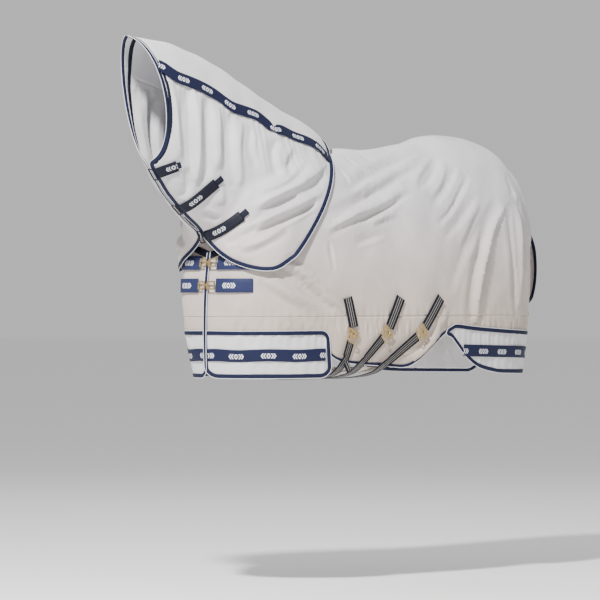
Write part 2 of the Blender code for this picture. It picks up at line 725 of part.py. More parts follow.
def neck_closures():
    """Three closures down the throat: a peeling tab on the near side and its keeper ring on the throat."""
    for index, (u, length, lean) in enumerate(zip(TAB_RIBS, TAB_LENGTHS, TAB_LEANS), 1):
        start = neck_foot(u) - 0.012
        span = length / (along_rib(NECK, u, 0.9) - along_rib(NECK, u, 0.8)).length * 0.1

        def tab(s, t, u=u, start=start, span=span, lean=lean):
            width = TAB_WIDTH / (along_rib(NECK, u + 0.1, 0.9) - along_rib(NECK, u - 0.1, 0.9)).length * 0.2
            return lifted_neck(u + width * (s - 0.5) + lean * t**1.7, start - span * t, NEAR, TAB_LIFT)

        sheet(f"throat_tab_{index}", 6, 2, tab, "closure_tape", 0.003, outward=Vector((-0.7, 0, 0)))
        keeper(index, u)


def keeper(index, u):
    """The flat ring that a tab doubles back through, on its short loop from the off side."""
    foot = neck_foot(u)
    near, off = lifted_neck(u, foot, NEAR, 0.004), lifted_neck(u, foot, OFF, 0.004)
    ahead = along_rib(NECK, u + 0.1, 1) - along_rib(NECK, u - 0.1, 1)
    along = Vector((ahead.x, 0, ahead.z)).normalized()
    across = Vector((0, 1, 0))
    outward = across.cross(along)
    outward = outward if outward.z < 0 else -outward
    centre = (near + off) / 2
    matrix = Matrix((across, outward.cross(across), outward)).transposed().to_4x4()
    matrix.translation = Vector((centre.x, 0, centre.z)) + outward * 0.006
    half, rim = TAB_WIDTH / 2 + 0.005, 0.004
    plate(
        f"throat_ring_{index}", rounded(-0.012, -half, 0.012, half, 0.003),
        [rounded(-0.012 + rim, -half + rim, 0.012 - rim, half - rim, 0.001)], METAL, "black_plastic", matrix,
    )


# ---------------------------------------------------------------- leg-strap rings

RING_RISE = 0.235  # hem up to the leg-strap rings


def leg_ring(side, name):
    """A flat ring facing backwards, hung from a webbing tab on the rear edge."""
    u = LAST_RIB - 0.12
    v = level(u, HEM_Z + RING_RISE)
    here = on_form(RUG, u, v, side, CLOTH)
    top = Vector((here.x + 0.010, here.y, here.z))
    across, up = Vector((0, 1, 0)), Vector((0, 0, 1))
    matrix = Matrix((across, up, Vector((1, 0, 0)))).transposed().to_4x4()
    matrix.translation = top
    plate(
        f"leg_ring_{name}", rounded(-RING_WIDTH / 2, -RING_HEIGHT, RING_WIDTH / 2, 0, 0.008),
        [rounded(-RING_WIDTH / 2 + RING_RIM, -RING_HEIGHT + RING_RIM, RING_WIDTH / 2 - RING_RIM, -RING_RIM, 0.004)],
        RING_PLATE, "gilt_metal", matrix,
    )
    return top


def build():
    global BODY_TREE
    for obj in list(bpy.data.objects):
        bpy.data.objects.remove(obj)
    BODY_TREE = body_tree()
    for side, name in ((NEAR, "left"), (OFF, "right")):
        side_panels(side, name)
        collar(side, name)
        leg_ring(side, name)
    chest_facing()
    tail_flap()
    belly_flap()
    for line in SURCINGLES:
        surcingle(*line)
    chest_patches()
    for level_name, top in zip(("lower", "upper"), PATCH_TOPS):
        chest_clip(level_name, top)
    neck_cover()
    neck_closures()


build()
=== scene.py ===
# %% [markdown]
# # A horse's fly sheet
# The sheet is a light mesh rug in its worn shape: body sheet, neck cover, tail flap, belly flap and metal
# fittings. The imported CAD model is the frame. Everything here is made in its metres, with the withers at
# the origin, +X towards the tail, -Y the near side where the sheet fastens, and +Z up.

# %% Load the frame
import math

import bmesh
import bpy
import numpy as np
from mathutils import Matrix, Vector
from mathutils.bvhtree import BVHTree


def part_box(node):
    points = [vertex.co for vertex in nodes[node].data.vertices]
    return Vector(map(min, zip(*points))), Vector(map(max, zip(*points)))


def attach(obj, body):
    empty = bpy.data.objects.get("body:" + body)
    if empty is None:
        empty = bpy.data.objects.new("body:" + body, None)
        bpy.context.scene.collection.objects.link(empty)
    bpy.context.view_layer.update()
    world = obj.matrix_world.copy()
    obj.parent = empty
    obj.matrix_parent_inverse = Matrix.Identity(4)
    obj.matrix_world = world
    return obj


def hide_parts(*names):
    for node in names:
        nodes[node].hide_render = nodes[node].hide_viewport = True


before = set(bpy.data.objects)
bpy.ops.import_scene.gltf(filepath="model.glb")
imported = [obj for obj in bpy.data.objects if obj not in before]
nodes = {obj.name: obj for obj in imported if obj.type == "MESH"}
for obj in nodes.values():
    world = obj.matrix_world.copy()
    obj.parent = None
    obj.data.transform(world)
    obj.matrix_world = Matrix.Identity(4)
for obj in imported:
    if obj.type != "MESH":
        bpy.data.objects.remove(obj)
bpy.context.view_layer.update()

# %% [markdown]
# The cloth lies on a form, like a tailor's dummy. The form is a row of ribs, each a curve from the neckline
# or the spine down to the hem. Between ribs the form is interpolated smoothly. A panel is then a patch of
# that form between two ribs and two edges, so that layers and neighbours always follow each other. Ribs
# suit a rug better than a modelled horse, because its seams and hems are described along and across them.

# %% The form's ribs
RUG_RIBS = (
    ((-0.62, 0.0, -0.40), (-0.645, 0.0, -0.52), (-0.647, 0.0, -0.70), (-0.635, 0.0, -0.86)),
    ((-0.585, 0.12, -0.36), (-0.665, 0.155, -0.50), (-0.61, 0.14, -0.70), (-0.58, 0.125, -0.86)),
    ((-0.47, 0.185, -0.27), (-0.54, 0.25, -0.40), (-0.48, 0.26, -0.65), (-0.44, 0.245, -0.86)),
    ((-0.32, 0.195, -0.17), (-0.35, 0.27, -0.30), (-0.30, 0.29, -0.60), (-0.28, 0.282, -0.86)),
    ((-0.17, 0.15, -0.08), (-0.17, 0.26, -0.16), (-0.15, 0.31, -0.50), (-0.14, 0.295, -0.86)),
    ((-0.05, 0.07, -0.02), (-0.04, 0.23, -0.08), (-0.02, 0.33, -0.42), (-0.02, 0.30, -0.86)),
    ((0.04, 0.0, 0.0), (0.04, 0.20, -0.005), (0.08, 0.345, -0.38), (0.08, 0.305, -0.86)),
    ((0.20, 0.0, 0.0), (0.20, 0.23, -0.005), (0.22, 0.36, -0.36), (0.22, 0.31, -0.86)),
    ((0.40, 0.0, 0.03), (0.40, 0.25, 0.024), (0.42, 0.345, -0.34), (0.42, 0.305, -0.86)),
    ((0.58, 0.0, 0.068), (0.58, 0.27, 0.06), (0.60, 0.33, -0.30), (0.60, 0.295, -0.86)),
    ((0.76, 0.0, 0.048), (0.78, 0.27, 0.038), (0.81, 0.31, -0.29), (0.78, 0.265, -0.86)),
    ((0.89, 0.0, -0.035), (0.93, 0.21, -0.05), (0.955, 0.235, -0.35), (0.895, 0.19, -0.86)),
    ((0.965, 0.0, -0.15), (1.01, 0.10, -0.18), (1.02, 0.13, -0.45), (0.95, 0.10, -0.86)),
)
NECK_RIBS = (
    ((-1.03, 0.0, 0.375), (-0.96, 0.14, 0.34), (-0.88, 0.145, -0.06), (-0.93, 0.0, -0.085)),
    ((-0.82, 0.0, 0.352), (-0.81, 0.155, 0.33), (-0.86, 0.16, -0.15), (-0.865, 0.0, -0.165)),
    ((-0.60, 0.0, 0.283), (-0.62, 0.165, 0.26), (-0.79, 0.18, -0.24), (-0.78, 0.0, -0.245)),
    ((-0.40, 0.0, 0.188), (-0.43, 0.19, 0.17), (-0.68, 0.23, -0.33), (-0.665, 0.0, -0.335)),
    ((-0.25, 0.0, 0.125), (-0.29, 0.21, 0.11), (-0.62, 0.27, -0.40), (-0.635, 0.14, -0.43)),
    ((-0.14, 0.0, 0.083), (-0.17, 0.20, 0.063), (-0.45, 0.28, -0.30), (-0.545, 0.24, -0.46)),
    ((-0.062, 0.0, 0.041), (-0.082, 0.13, 0.015), (-0.235, 0.25, -0.22), (-0.45, 0.265, -0.415)),
)
NEAR, OFF = -1, 1
HEM_Z = -0.855
LAST = len(RUG_RIBS) - 1
LAST_NECK = len(NECK_RIBS) - 1
rug_form, neck_form = np.array(RUG_RIBS), np.array(NECK_RIBS)
print("form", len(RUG_RIBS), "ribs for the rug,", len(NECK_RIBS), "for the neck")

# %% [markdown]
# A place on the form is a rib number u, which may lie between two ribs, and a share v down it. Along the
# row of ribs the form is a Catmull-Rom curve, which passes through every rib, and down each rib a Bezier
# curve, which has no wiggles. The direction out of the form comes from two short steps on it, and a height
# is found by halving.


# %% Points on the form
def smooth_line(points, at):
    """Points at fractional indices along a smooth line."""
    at = np.clip(at, 0, len(points) - 1)
    i = np.clip(at.astype(int), 0, len(points) - 2)
    f = (at - i)[:, None]
    ends = np.vstack([2 * points[0] - points[1], points, 2 * points[-1] - points[-2]])
    a, b, c, d = (ends[i + k] for k in range(4))
    return 0.5 * (b * 2 + (c - a) * f + (a * 2 - b * 5 + c * 4 - d) * f**2 + (b * 3 - a - c * 3 + d) * f**3)


def rib_points(form, u, v):
    """Points a share v down the ribs at u, on the off side."""
    u, v = np.broadcast_arrays(np.asarray(u, float), np.asarray(v, float))
    top, upper, lower, foot = (smooth_line(form[:, k], u) for k in range(4))
    top[:, 1], foot[:, 1] = np.maximum(0, top[:, 1]), np.maximum(0, foot[:, 1])
    w, v = (1 - v)[:, None], v[:, None]
    return top * w**3 + upper * (3 * w * w * v) + lower * (3 * w * v * v) + foot * v**3


def unit(rows):
    return rows / np.maximum(np.linalg.norm(rows, axis=1, keepdims=True), 1e-9)


def outward(form, u, v, step=0.006):
    """Normals of the form, on the off side."""
    last = len(form) - 1
    along = rib_points(form, np.minimum(u + step, last), v) - rib_points(form, np.maximum(u - step, 0), v)
    down = rib_points(form, u, np.minimum(v + step, 1)) - rib_points(form, u, np.maximum(v - step, 0))
    return unit(np.cross(along, down))


def on_form(form, u, v, side, lift=0.0):
    """Points on one side of a form, lifted off it."""
    u, v = np.broadcast_arrays(np.asarray(u, float), np.asarray(v, float))
    points = rib_points(form, u, v) + outward(form, u, v) * np.asarray(lift, float).reshape(-1, 1)
    return points * np.array([1, side, 1])


def level(u, z):
    """How far down each rib a height is."""
    u = np.atleast_1d(np.asarray(u, float))
    z = np.broadcast_to(np.asarray(z, float), u.shape)
    low, high = np.zeros_like(u), np.ones_like(u)
    for _ in range(24):
        middle = (low + high) / 2
        above = rib_points(rug_form, u, middle)[:, 2] > z
        low, high = np.where(above, middle, low), np.where(above, high, middle)
    return (low + high) / 2


def at_rise(rise):
    """An edge a given height above the lowest hem."""
    return lambda u: level(u, HEM_Z + rise)


print("top of the withers", rib_points(rug_form, [6.0], [0.0])[0].round(3))

# %% [markdown]
# The hems aren't level. They are curves of height against distance along the horse: the side rises in an
# arch in front of the stifle, where the hind leg needs room, and the hem bands have rounded corners.

# %% Hem lines
SIDE_HEM = (
    (-0.31, 0.12), (-0.285, 0.10), (-0.25, 0.065), (-0.18, 0.047), (0.0, 0.035), (0.10, 0.03), (0.165, 0.055),
    (0.245, 0.112), (0.32, 0.16), (0.36, 0.172), (0.515, 0.16), (0.75, 0.147), (1.0, 0.138),
)
BAND_HEM = (
    (0.31, 0.153), (0.35, 0.146), (0.39, 0.113), (0.445, 0.067), (0.515, 0.03), (0.60, 0.012), (0.70, 0.004),
    (1.0, 0.0),
)
BAND, SKIRT, CORNER = 0.15, 0.065, 0.05
SHOULDER, ARCH = 3.0, 7.5


def hem_curve(points):
    line = smooth_line(np.array(points), np.linspace(0, len(points) - 1, 200))
    return lambda u: np.interp(rib_points(rug_form, u, np.ones_like(u))[:, 0], line[:, 0], line[:, 1])


side_rise, band_rise = hem_curve(SIDE_HEM), hem_curve(BAND_HEM)
hem_u = np.linspace(0, LAST, 400)
hem_points = rib_points(rug_form, hem_u, np.full(400, 0.99))
hem_run = np.concatenate([[0], np.cumsum(np.linalg.norm(np.diff(hem_points, axis=0), axis=1))])


def run(u):
    """Length along the hem from the chest to a rib."""
    return np.interp(u, hem_u, hem_run)


def corner(distance):
    """How far a rounded corner lifts the hem."""
    d = np.clip(distance, 0, CORNER)
    return CORNER - np.sqrt(np.maximum(0, CORNER**2 - (CORNER - d) ** 2))


def front_band_foot(u):
    return level(u, HEM_Z + corner(run(u) + 0.004) + corner(run(SHOULDER) - run(u) + 0.004))


def rear_band_foot(u):
    return level(u, HEM_Z + np.maximum(band_rise(u), corner(run(LAST) - run(u) + 0.004)))


def side_foot(u):
    return level(u, HEM_Z + side_rise(u))


print("hem length each side", round(float(hem_run[-1]), 3), "m")

# %% [markdown]
# Cloth folds where it hangs from one place and is pulled towards another. On this sheet the folds run from
# the withers back over the barrel, fan down from the hip, hang straight at the quarters, and gather under
# the neck tape. Each fold is a short line on the cloth with a width and a height. The cloth is pushed out
# or in by a bell-shaped bump round the line, fading at its ends. Placing folds one by one gives them the right
# cause and direction.

# %% Fold lines
# width, height, then points: (along the horse, height) on the body, (rib, share down it) on the neck
BODY_FOLDS = (
    (0.016, -0.007, ((0.37, -0.01), (0.14, -0.08), (-0.11, -0.17))),
    (0.018, 0.006, ((0.33, -0.05), (0.17, -0.1), (-0.03, -0.18))),
    (0.017, -0.006, ((0.19, -0.13), (0.0, -0.19), (-0.25, -0.29))),
    (0.018, 0.009, ((0.21, -0.15), (0.05, -0.22), (-0.13, -0.27), (-0.27, -0.32))),
    (0.012, -0.005, ((0.19, -0.18), (0.06, -0.24), (-0.09, -0.29))),
    (0.014, 0.005, ((0.12, -0.25), (-0.03, -0.29))),
    (0.014, -0.004, ((0.03, -0.33), (-0.13, -0.37))),
    (0.014, -0.004, ((0.45, -0.03), (0.35, -0.11), (0.26, -0.16))),
    (0.014, 0.004, ((0.41, -0.03), (0.31, -0.09), (0.26, -0.13))),
    (0.014, -0.005, ((0.5, -0.06), (0.41, -0.15), (0.31, -0.22))),
    (0.014, 0.004, ((0.46, -0.05), (0.39, -0.13), (0.32, -0.18))),
    (0.014, -0.005, ((0.55, -0.09), (0.43, -0.21), (0.32, -0.29))),
    (0.013, 0.004, ((0.52, -0.1), (0.4, -0.22), (0.32, -0.27))),
    (0.014, -0.004, ((0.56, -0.17), (0.45, -0.27), (0.34, -0.35))),
    (0.014, 0.004, ((0.57, -0.2), (0.48, -0.29), (0.42, -0.37))),
    (0.022, -0.005, ((0.59, -0.23), (0.5, -0.34), (0.43, -0.41), (0.34, -0.56))),
    (0.016, 0.010, ((0.71, -0.21), (0.61, -0.32), (0.52, -0.52), (0.5, -0.67))),
    (0.018, -0.007, ((0.68, -0.21), (0.58, -0.32), (0.49, -0.53), (0.47, -0.67))),
    (0.014, -0.006, ((0.74, -0.2), (0.74, -0.41), (0.76, -0.65))),
    (0.014, 0.008, ((0.81, -0.15), (0.8, -0.34), (0.79, -0.6))),
    (0.013, -0.005, ((0.78, -0.09), (0.82, -0.26), (0.85, -0.46))),
    (0.012, 0.006, ((0.86, -0.07), (0.93, -0.23), (0.93, -0.37))),
    (0.010, -0.004, ((-0.1, -0.08), (-0.08, -0.14))),
    (0.010, 0.003, ((0.12, -0.0), (0.13, -0.04), (0.2, -0.05))),
    (0.009, -0.003, ((-0.01, -0.03), (0.02, -0.07), (0.11, -0.08))),
    (0.020, 0.008, ((-0.46, -0.44), (-0.37, -0.49), (-0.27, -0.58), (-0.2, -0.63))),
    (0.016, -0.008, ((-0.5, -0.45), (-0.41, -0.5), (-0.31, -0.58), (-0.25, -0.62))),
    (0.016, 0.006, ((-0.53, -0.49), (-0.46, -0.55), (-0.35, -0.61))),
    (0.016, -0.005, ((-0.57, -0.51), (-0.51, -0.56), (-0.41, -0.62))),
    (0.010, 0.002, ((-0.49, -0.74), (-0.46, -0.78))),
    (0.008, -0.004, ((-0.255, -0.36), (-0.25, -0.41), (-0.25, -0.47))),
    (0.012, 0.005, ((0.3, -0.68), (0.23, -0.76), (0.14, -0.81))),
    (0.012, -0.005, ((0.27, -0.67), (0.19, -0.75), (0.09, -0.79))),
    (0.014, 0.004, ((0.33, -0.61), (0.31, -0.65), (0.26, -0.69))),
)
NECK_FOLDS = (
    (0.020, -0.010, ((0.91, 0.36), (1.03, 0.55), (1.48, 0.77), (1.79, 0.89))),
    (0.022, 0.010, ((1.24, 0.36), (1.36, 0.55), (1.81, 0.75))),
    (0.018, -0.009, ((1.52, 0.36), (1.72, 0.55), (2.15, 0.72))),
    (0.020, 0.010, ((1.79, 0.36), (1.98, 0.52), (2.39, 0.68), (2.68, 0.75))),
    (0.020, -0.009, ((2.12, 0.36), (2.33, 0.52), (2.73, 0.66))),
    (0.018, 0.006, ((2.43, 0.36), (2.52, 0.49), (2.87, 0.62))),
    (0.020, 0.007, ((0.29, 0.36), (0.43, 0.6), (1.11, 0.76), (1.64, 0.87))),
    (0.016, -0.005, ((0.05, 0.39), (0.16, 0.67), (0.8, 0.76))),
    (0.018, -0.005, ((2.69, 0.35), (2.76, 0.45), (3.08, 0.51))),
    (0.018, -0.006, ((3.48, 0.33), (3.47, 0.4), (3.87, 0.48))),
    (0.018, 0.005, ((4.06, 0.32), (3.92, 0.4), (4.08, 0.47))),
    (0.013, -0.013, ((4.77, 0.57), (3.98, 0.64), (3.42, 0.76))),
    (0.026, 0.012, ((5.77, 0.4), (4.76, 0.51), (3.93, 0.57), (3.23, 0.72))),
    (0.018, 0.011, ((5.76, 0.6), (4.85, 0.64), (4.11, 0.68), (3.57, 0.79))),
    (0.013, -0.008, ((5.68, 0.66), (4.67, 0.7), (3.81, 0.76))),
    (0.016, -0.006, ((4.69, 0.48), (4.01, 0.53), (3.35, 0.65))),
    (0.016, 0.005, ((4.64, 0.38), (4.14, 0.49), (3.48, 0.57))),
    (0.014, -0.008, ((3.91, 0.69), (3.66, 0.82), (3.49, 0.91))),
    (0.018, 0.008, ((4.78, 0.74), (4.25, 0.8), (3.81, 0.87))),
    (0.012, -0.006, ((2.44, 0.86), (2.87, 0.82))),
)
print("folds", len(BODY_FOLDS), "on the body,", len(NECK_FOLDS), "on the neck")

# %% [markdown]
# A fold works as a push along the form's normal. Its profile is a bell with a shallow dip beyond it,
# because cloth that is drawn up into a ridge is taken from beside it. The rear side is steeper, and the
# fold fades to nothing at both ends. A cloth simulation would make folds too, but not in chosen places.

# %% Folds as a push off the form
FOLD_DEPTH = 1.7
STEEP, SLACK = 0.62, 1.35
reference_u, reference_v = (a.ravel() for a in np.meshgrid(np.linspace(0, LAST, 420), np.linspace(0, 1, 200)))
reference = rib_points(rug_form, reference_u, reference_v)


def fold_lines(folds, form):
    """Each fold as points in space on the off side, with its width and height."""
    lines = []
    for width, height, points in folds:
        path = smooth_line(np.array(points), np.linspace(0, len(points) - 1, 40))
        if form is rug_form:
            flat = ((reference[None, :, [0, 2]] - path[:, None]) ** 2).sum(axis=2)
            lines.append((width, height, reference[flat.argmin(axis=1)]))
        else:
            lines.append((width, height, rib_points(form, path[:, 0], path[:, 1])))
    return lines


body_folds, neck_folds = fold_lines(BODY_FOLDS, rug_form), fold_lines(NECK_FOLDS, neck_form)


def folded(points, lines, strength=1.0):
    """How far the folds push each point off the form. A fold is steep on its rear side, slack on the other."""
    push = np.zeros(len(points))
    for width, height, line in lines:
        near = (np.abs(points[:, None, :] - line[None, ::6, :]).sum(axis=2).min(axis=1)) < 0.25
        if not near.any():
            continue
        apart = points[near][:, None, :] - line[None]
        k = np.linalg.norm(apart, axis=2).argmin(axis=1)
        away = apart[np.arange(len(k)), k]
        along = np.gradient(line, axis=0)[k]
        gap = np.linalg.norm(away, axis=1)
        rear = (away[:, 2] * along[:, 0] - away[:, 0] * along[:, 2]) > 0
        reach = width * np.where(rear, STEEP, SLACK)
        place = k / (len(line) - 1)
        taper = np.sin(np.pi * place) ** 0.5
        bell = np.exp(-((gap / reach) ** 1.6)) - 0.3 * np.exp(-(((gap - 2.1 * reach) / (0.9 * reach)) ** 2))
        push[near] += height * bell * taper
    return push * strength * FOLD_DEPTH


print("fold lines laid", len(body_folds) + len(neck_folds))

# %% [markdown]
# A small helper makes every sheet: it starts from a grid, asks for the place of each of its points and
# gives the cloth its thickness with Solidify. The grid's own two directions become the UV map in metres, so
# that the weave follows the cloth.

# %% Sheet helper
CLOTH = 0.0016


def grid_object(name, columns, rows, place, material, size=None, close=False):
    """A grid laid out by place(share across, share down) as a new object, with a UV map in metres."""
    bm = bmesh.new()
    bmesh.ops.create_grid(bm, x_segments=columns, y_segments=rows, size=0.5)
    st = np.array([(v.co.x + 0.5, v.co.y + 0.5) for v in bm.verts])
    laid = place(st[:, 0], st[:, 1])
    layer = bm.loops.layers.uv.new("cloth")
    width, height = size or (1.0, 1.0)
    for face in bm.faces:
        for loop in face.loops:
            s, t = st[loop.vert.index]
            loop[layer].uv = (s * width, (1 - t) * height)
    for vert, spot in zip(bm.verts, laid):
        vert.co = spot
    if close:
        bmesh.ops.remove_doubles(bm, verts=bm.verts, dist=1e-5)
        bmesh.ops.holes_fill(bm, edges=[e for e in bm.edges if e.is_boundary], sides=0)
        bmesh.ops.recalc_face_normals(bm, faces=bm.faces)
    for face in bm.faces:
        face.smooth = True
    mesh = bpy.data.meshes.new(name)
    bm.to_mesh(mesh)
    bm.free()
    mesh.materials.append(material)
    obj = bpy.data.objects.new(name, mesh)
    bpy.context.scene.collection.objects.link(obj)
    return obj


def thicken(obj, thickness, side):
    """Solidify outwards. The grids face outwards on the near side, so the off side is turned over first."""
    if side == OFF:
        obj.data.flip_normals()
    wall = obj.modifiers.new("Thickness", "SOLIDIFY")
    wall.thickness = thickness
    wall.offset = 1.0
    wall.use_even_offset = False


print("cloth thickness", CLOTH)

# %% [markdown]
# The cloth is a light mesh of polyester: silver grey, slightly shiny, with a fine open weave. Two crossed
# wave textures on the cloth's UV map make the weave, which only shows close up, and slow noise on Object
# coordinates varies the colour as worn cloth does. Sheen gives the soft edge that woven cloth has.


# %% Material helpers
def new_material(name, colour, roughness, metallic=0.0, sheen=0.0):
    """A Principled material and its shader."""
    mat = bpy.data.materials.new(name)
    mat.use_nodes = True
    shader = mat.node_tree.nodes["Principled BSDF"]
    shader.inputs["Base Color"].default_value = (*colour, 1)
    shader.inputs["Roughness"].default_value = roughness
    shader.inputs["Metallic"].default_value = metallic
    shader.inputs["Sheen Weight"].default_value = sheen
    shader.inputs["Sheen Roughness"].default_value = 0.5
    shader.inputs["Specular IOR Level"].default_value = 0.5 if metallic else 0.2
    return mat, shader


def node(mat, kind, **values):
    """A node with its inputs or properties set."""
    made_node = mat.node_tree.nodes.new(kind)
    for key, value in values.items():
        if key in made_node.inputs:
            made_node.inputs[key].default_value = value
        else:
            setattr(made_node, key, value)
    return made_node


def link(mat, start, end):
    mat.node_tree.links.new(start, end)


def ramp(mat, factor, stops):
    """A colour ramp from (position, colour) stops."""
    colours = node(mat, "ShaderNodeValToRGB")
    while len(colours.color_ramp.elements) < len(stops):
        colours.color_ramp.elements.new(0.5)
    for element, (place, colour) in zip(colours.color_ramp.elements, stops):
        element.position = place
        element.color = (*colour, 1)
    link(mat, factor, colours.inputs["Fac"])
    return colours.outputs["Color"]


def weave_bump(mat, shader, pitch, depth):
    """Two crossed waves on the UV map, as the threads of a weave. Returns their height and the bump."""
    uv = node(mat, "ShaderNodeUVMap", uv_map="cloth")
    waves = []
    for direction in ("X", "Y"):
        wave = node(mat, "ShaderNodeTexWave", bands_direction=direction, Scale=0.314 / pitch, Distortion=0.0)
        link(mat, uv.outputs["UV"], wave.inputs["Vector"])
        waves.append(wave.outputs["Fac"])
    both = node(mat, "ShaderNodeMath", operation="MULTIPLY")
    link(mat, waves[0], both.inputs[0])
    link(mat, waves[1], both.inputs[1])
    bump = node(mat, "ShaderNodeBump", Strength=0.5, Distance=depth)
    link(mat, both.outputs[0], bump.inputs["Height"])
    link(mat, bump.outputs["Normal"], shader.inputs["Normal"])
    return both.outputs[0], bump


def crumple(mat, bump, scale, depth, strength=0.6):
    """Soft small creases under the weave."""
    place = node(mat, "ShaderNodeTexCoord")
    noise = node(mat, "ShaderNodeTexNoise", Scale=scale, Detail=3.0, Roughness=0.55)
    link(mat, place.outputs["Object"], noise.inputs["Vector"])
    under = node(mat, "ShaderNodeBump", Strength=strength, Distance=depth)
    link(mat, noise.outputs["Fac"], under.inputs["Height"])
    link(mat, under.outputs["Normal"], bump.inputs["Normal"])
    return noise.outputs["Fac"]


print("material helpers ready")

# %% [markdown]
# The body and the neck are of the silver mesh, and the hem bands of a whiter one. The low part of the cloth
# is painted warmer and darker: a painted ground bounce and painted shade, multiplied into its colour. That
# tint depends on height alone, so it runs through every panel without a step at the seams.


# %% Mesh cloth
def mesh_cloth_finish(name, colour, shade, painted_bounce_and_shade):
    """Mesh cloth; what lies lower has a warm tint multiplied in, as painted ground bounce and painted shade.
    """
    mat, shader = new_material(name, colour, 0.52, sheen=0.25)
    threads, bump = weave_bump(mat, shader, 0.0022, 0.0004)
    slow = crumple(mat, bump, 9.0, 0.006)
    mottled = ramp(mat, slow, [(0.35, shade), (0.65, colour)])
    # Painted ground bounce and painted shade: a warm tint multiplied into the colour, more towards the bottom
    # (Object Z from 0 down to -0.75).
    place = node(mat, "ShaderNodeTexCoord")
    parts = node(mat, "ShaderNodeSeparateXYZ")
    link(mat, place.outputs["Object"], parts.inputs[0])
    low = node(mat, "ShaderNodeMapRange", interpolation_type="SMOOTHSTEP")
    low.inputs["From Min"].default_value, low.inputs["From Max"].default_value = 0.0, -0.75
    link(mat, parts.outputs[2], low.inputs["Value"])
    with_painted_bounce = node(mat, "ShaderNodeMix", data_type="RGBA", blend_type="MULTIPLY")
    link(mat, low.outputs["Result"], with_painted_bounce.inputs["Factor"])
    link(mat, mottled, with_painted_bounce.inputs["A"])
    with_painted_bounce.inputs["B"].default_value = (*painted_bounce_and_shade, 1)
    open_weave = node(mat, "ShaderNodeMix", data_type="RGBA", blend_type="MULTIPLY", Factor=0.10)
    link(mat, with_painted_bounce.outputs["Result"], open_weave.inputs["A"])
    link(mat, threads, open_weave.inputs["B"])
    link(mat, open_weave.outputs["Result"], shader.inputs["Base Color"])
    return mat


# The warm tints below are painted ground bounce and painted shade for the lower cloth, not the cloth's own
# colour.
silver_mesh = mesh_cloth_finish(
    "silver mesh cloth", colour=(0.68, 0.67, 0.70), shade=(0.61, 0.60, 0.63), painted_bounce_and_shade=(0.90, 0.76, 0.62)
)
white_band = mesh_cloth_finish(
    "white band cloth", colour=(0.78, 0.77, 0.79), shade=(0.72, 0.71, 0.73), painted_bounce_and_shade=(0.98, 0.96, 0.95)
)
print("cloth finishes", silver_mesh.name, white_band.name)

# %% [markdown]
# Tapes, bindings and webbing are narrow weaves. Their stripes and motifs run along them, so they read the
# UV map: U is the distance along the tape and V the place across it. The motif is a plain lozenge between
# two pairs of chevrons. It is arithmetic on those two distances, so it stays sharp at any size.


# %% Tape, webbing and lining finishes
def ribbed(name, colour, roughness=0.6, pitch=0.0016, sheen=0.15):
    mat, shader = new_material(name, colour, roughness, sheen=sheen)
    _, bump = weave_bump(mat, shader, pitch, 0.0003)
    crumple(mat, bump, 22.0, 0.002, 0.4)
    return mat


def uv_parts(mat):
    uv = node(mat, "ShaderNodeUVMap", uv_map="cloth")
    parts = node(mat, "ShaderNodeSeparateXYZ")
    link(mat, uv.outputs["UV"], parts.inputs[0])
    return parts.outputs[0], parts.outputs[1]


def math_node(mat, operation, a, b=None, c=None):
    step = node(mat, "ShaderNodeMath", operation=operation)
    for socket, value in zip(step.inputs, (a, b, c)):
        if value is None:
            continue
        if isinstance(value, (int, float)):
            socket.default_value = value
        else:
            link(mat, value, socket)
    return step.outputs[0]


def lozenge_tape(name, colour, pale, spacing, width, phase=0.0):
    """Navy tape with a pale motif repeated along it: a lozenge between two pairs of chevrons."""
    mat, shader = new_material(name, colour, 0.55)
    weave_bump(mat, shader, 0.0016, 0.0003)
    along, across = uv_parts(mat)
    step = math_node(mat, "PINGPONG", math_node(mat, "ADD", along, phase), spacing / 2)
    middle = math_node(mat, "ABSOLUTE", math_node(mat, "SUBTRACT", across, width / 2))
    slanted = math_node(mat, "ADD", step, math_node(mat, "MULTIPLY", middle, 0.7))
    lozenge = math_node(mat, "COMPARE", slanted, 0.0065, 0.0026)
    chevrons = math_node(mat, "MAXIMUM", math_node(mat, "COMPARE", slanted, 0.0175, 0.0026),
                         math_node(mat, "COMPARE", slanted, 0.0265, 0.0026))
    low = math_node(mat, "LESS_THAN", middle, width * 0.19)
    mark = math_node(mat, "MULTIPLY", math_node(mat, "MAXIMUM", lozenge, chevrons), low)
    link(mat, ramp(mat, mark, [(0.4, colour), (0.6, pale)]), shader.inputs["Base Color"])
    return mat


def striped(name, width):
    """Surcingle webbing: navy with a pale pinstripe down the middle and one either side."""
    mat, shader = new_material(name, (0.02, 0.02, 0.03), 0.6)
    weave_bump(mat, shader, 0.0018, 0.0005)
    _, across = uv_parts(mat)
    off_middle = math_node(mat, "ABSOLUTE", math_node(mat, "SUBTRACT", across, width / 2))
    share = math_node(mat, "MULTIPLY", off_middle, 2 / width)
    navy, centre, beside = (0.006, 0.007, 0.014), (0.30, 0.28, 0.25), (0.36, 0.34, 0.31)
    stripes = [
        (0.0, centre), (0.06, centre), (0.09, navy), (0.38, navy),
        (0.41, beside), (0.47, beside), (0.50, navy), (1.0, navy),
    ]
    link(mat, ramp(mat, share, stripes), shader.inputs["Base Color"])
    return mat


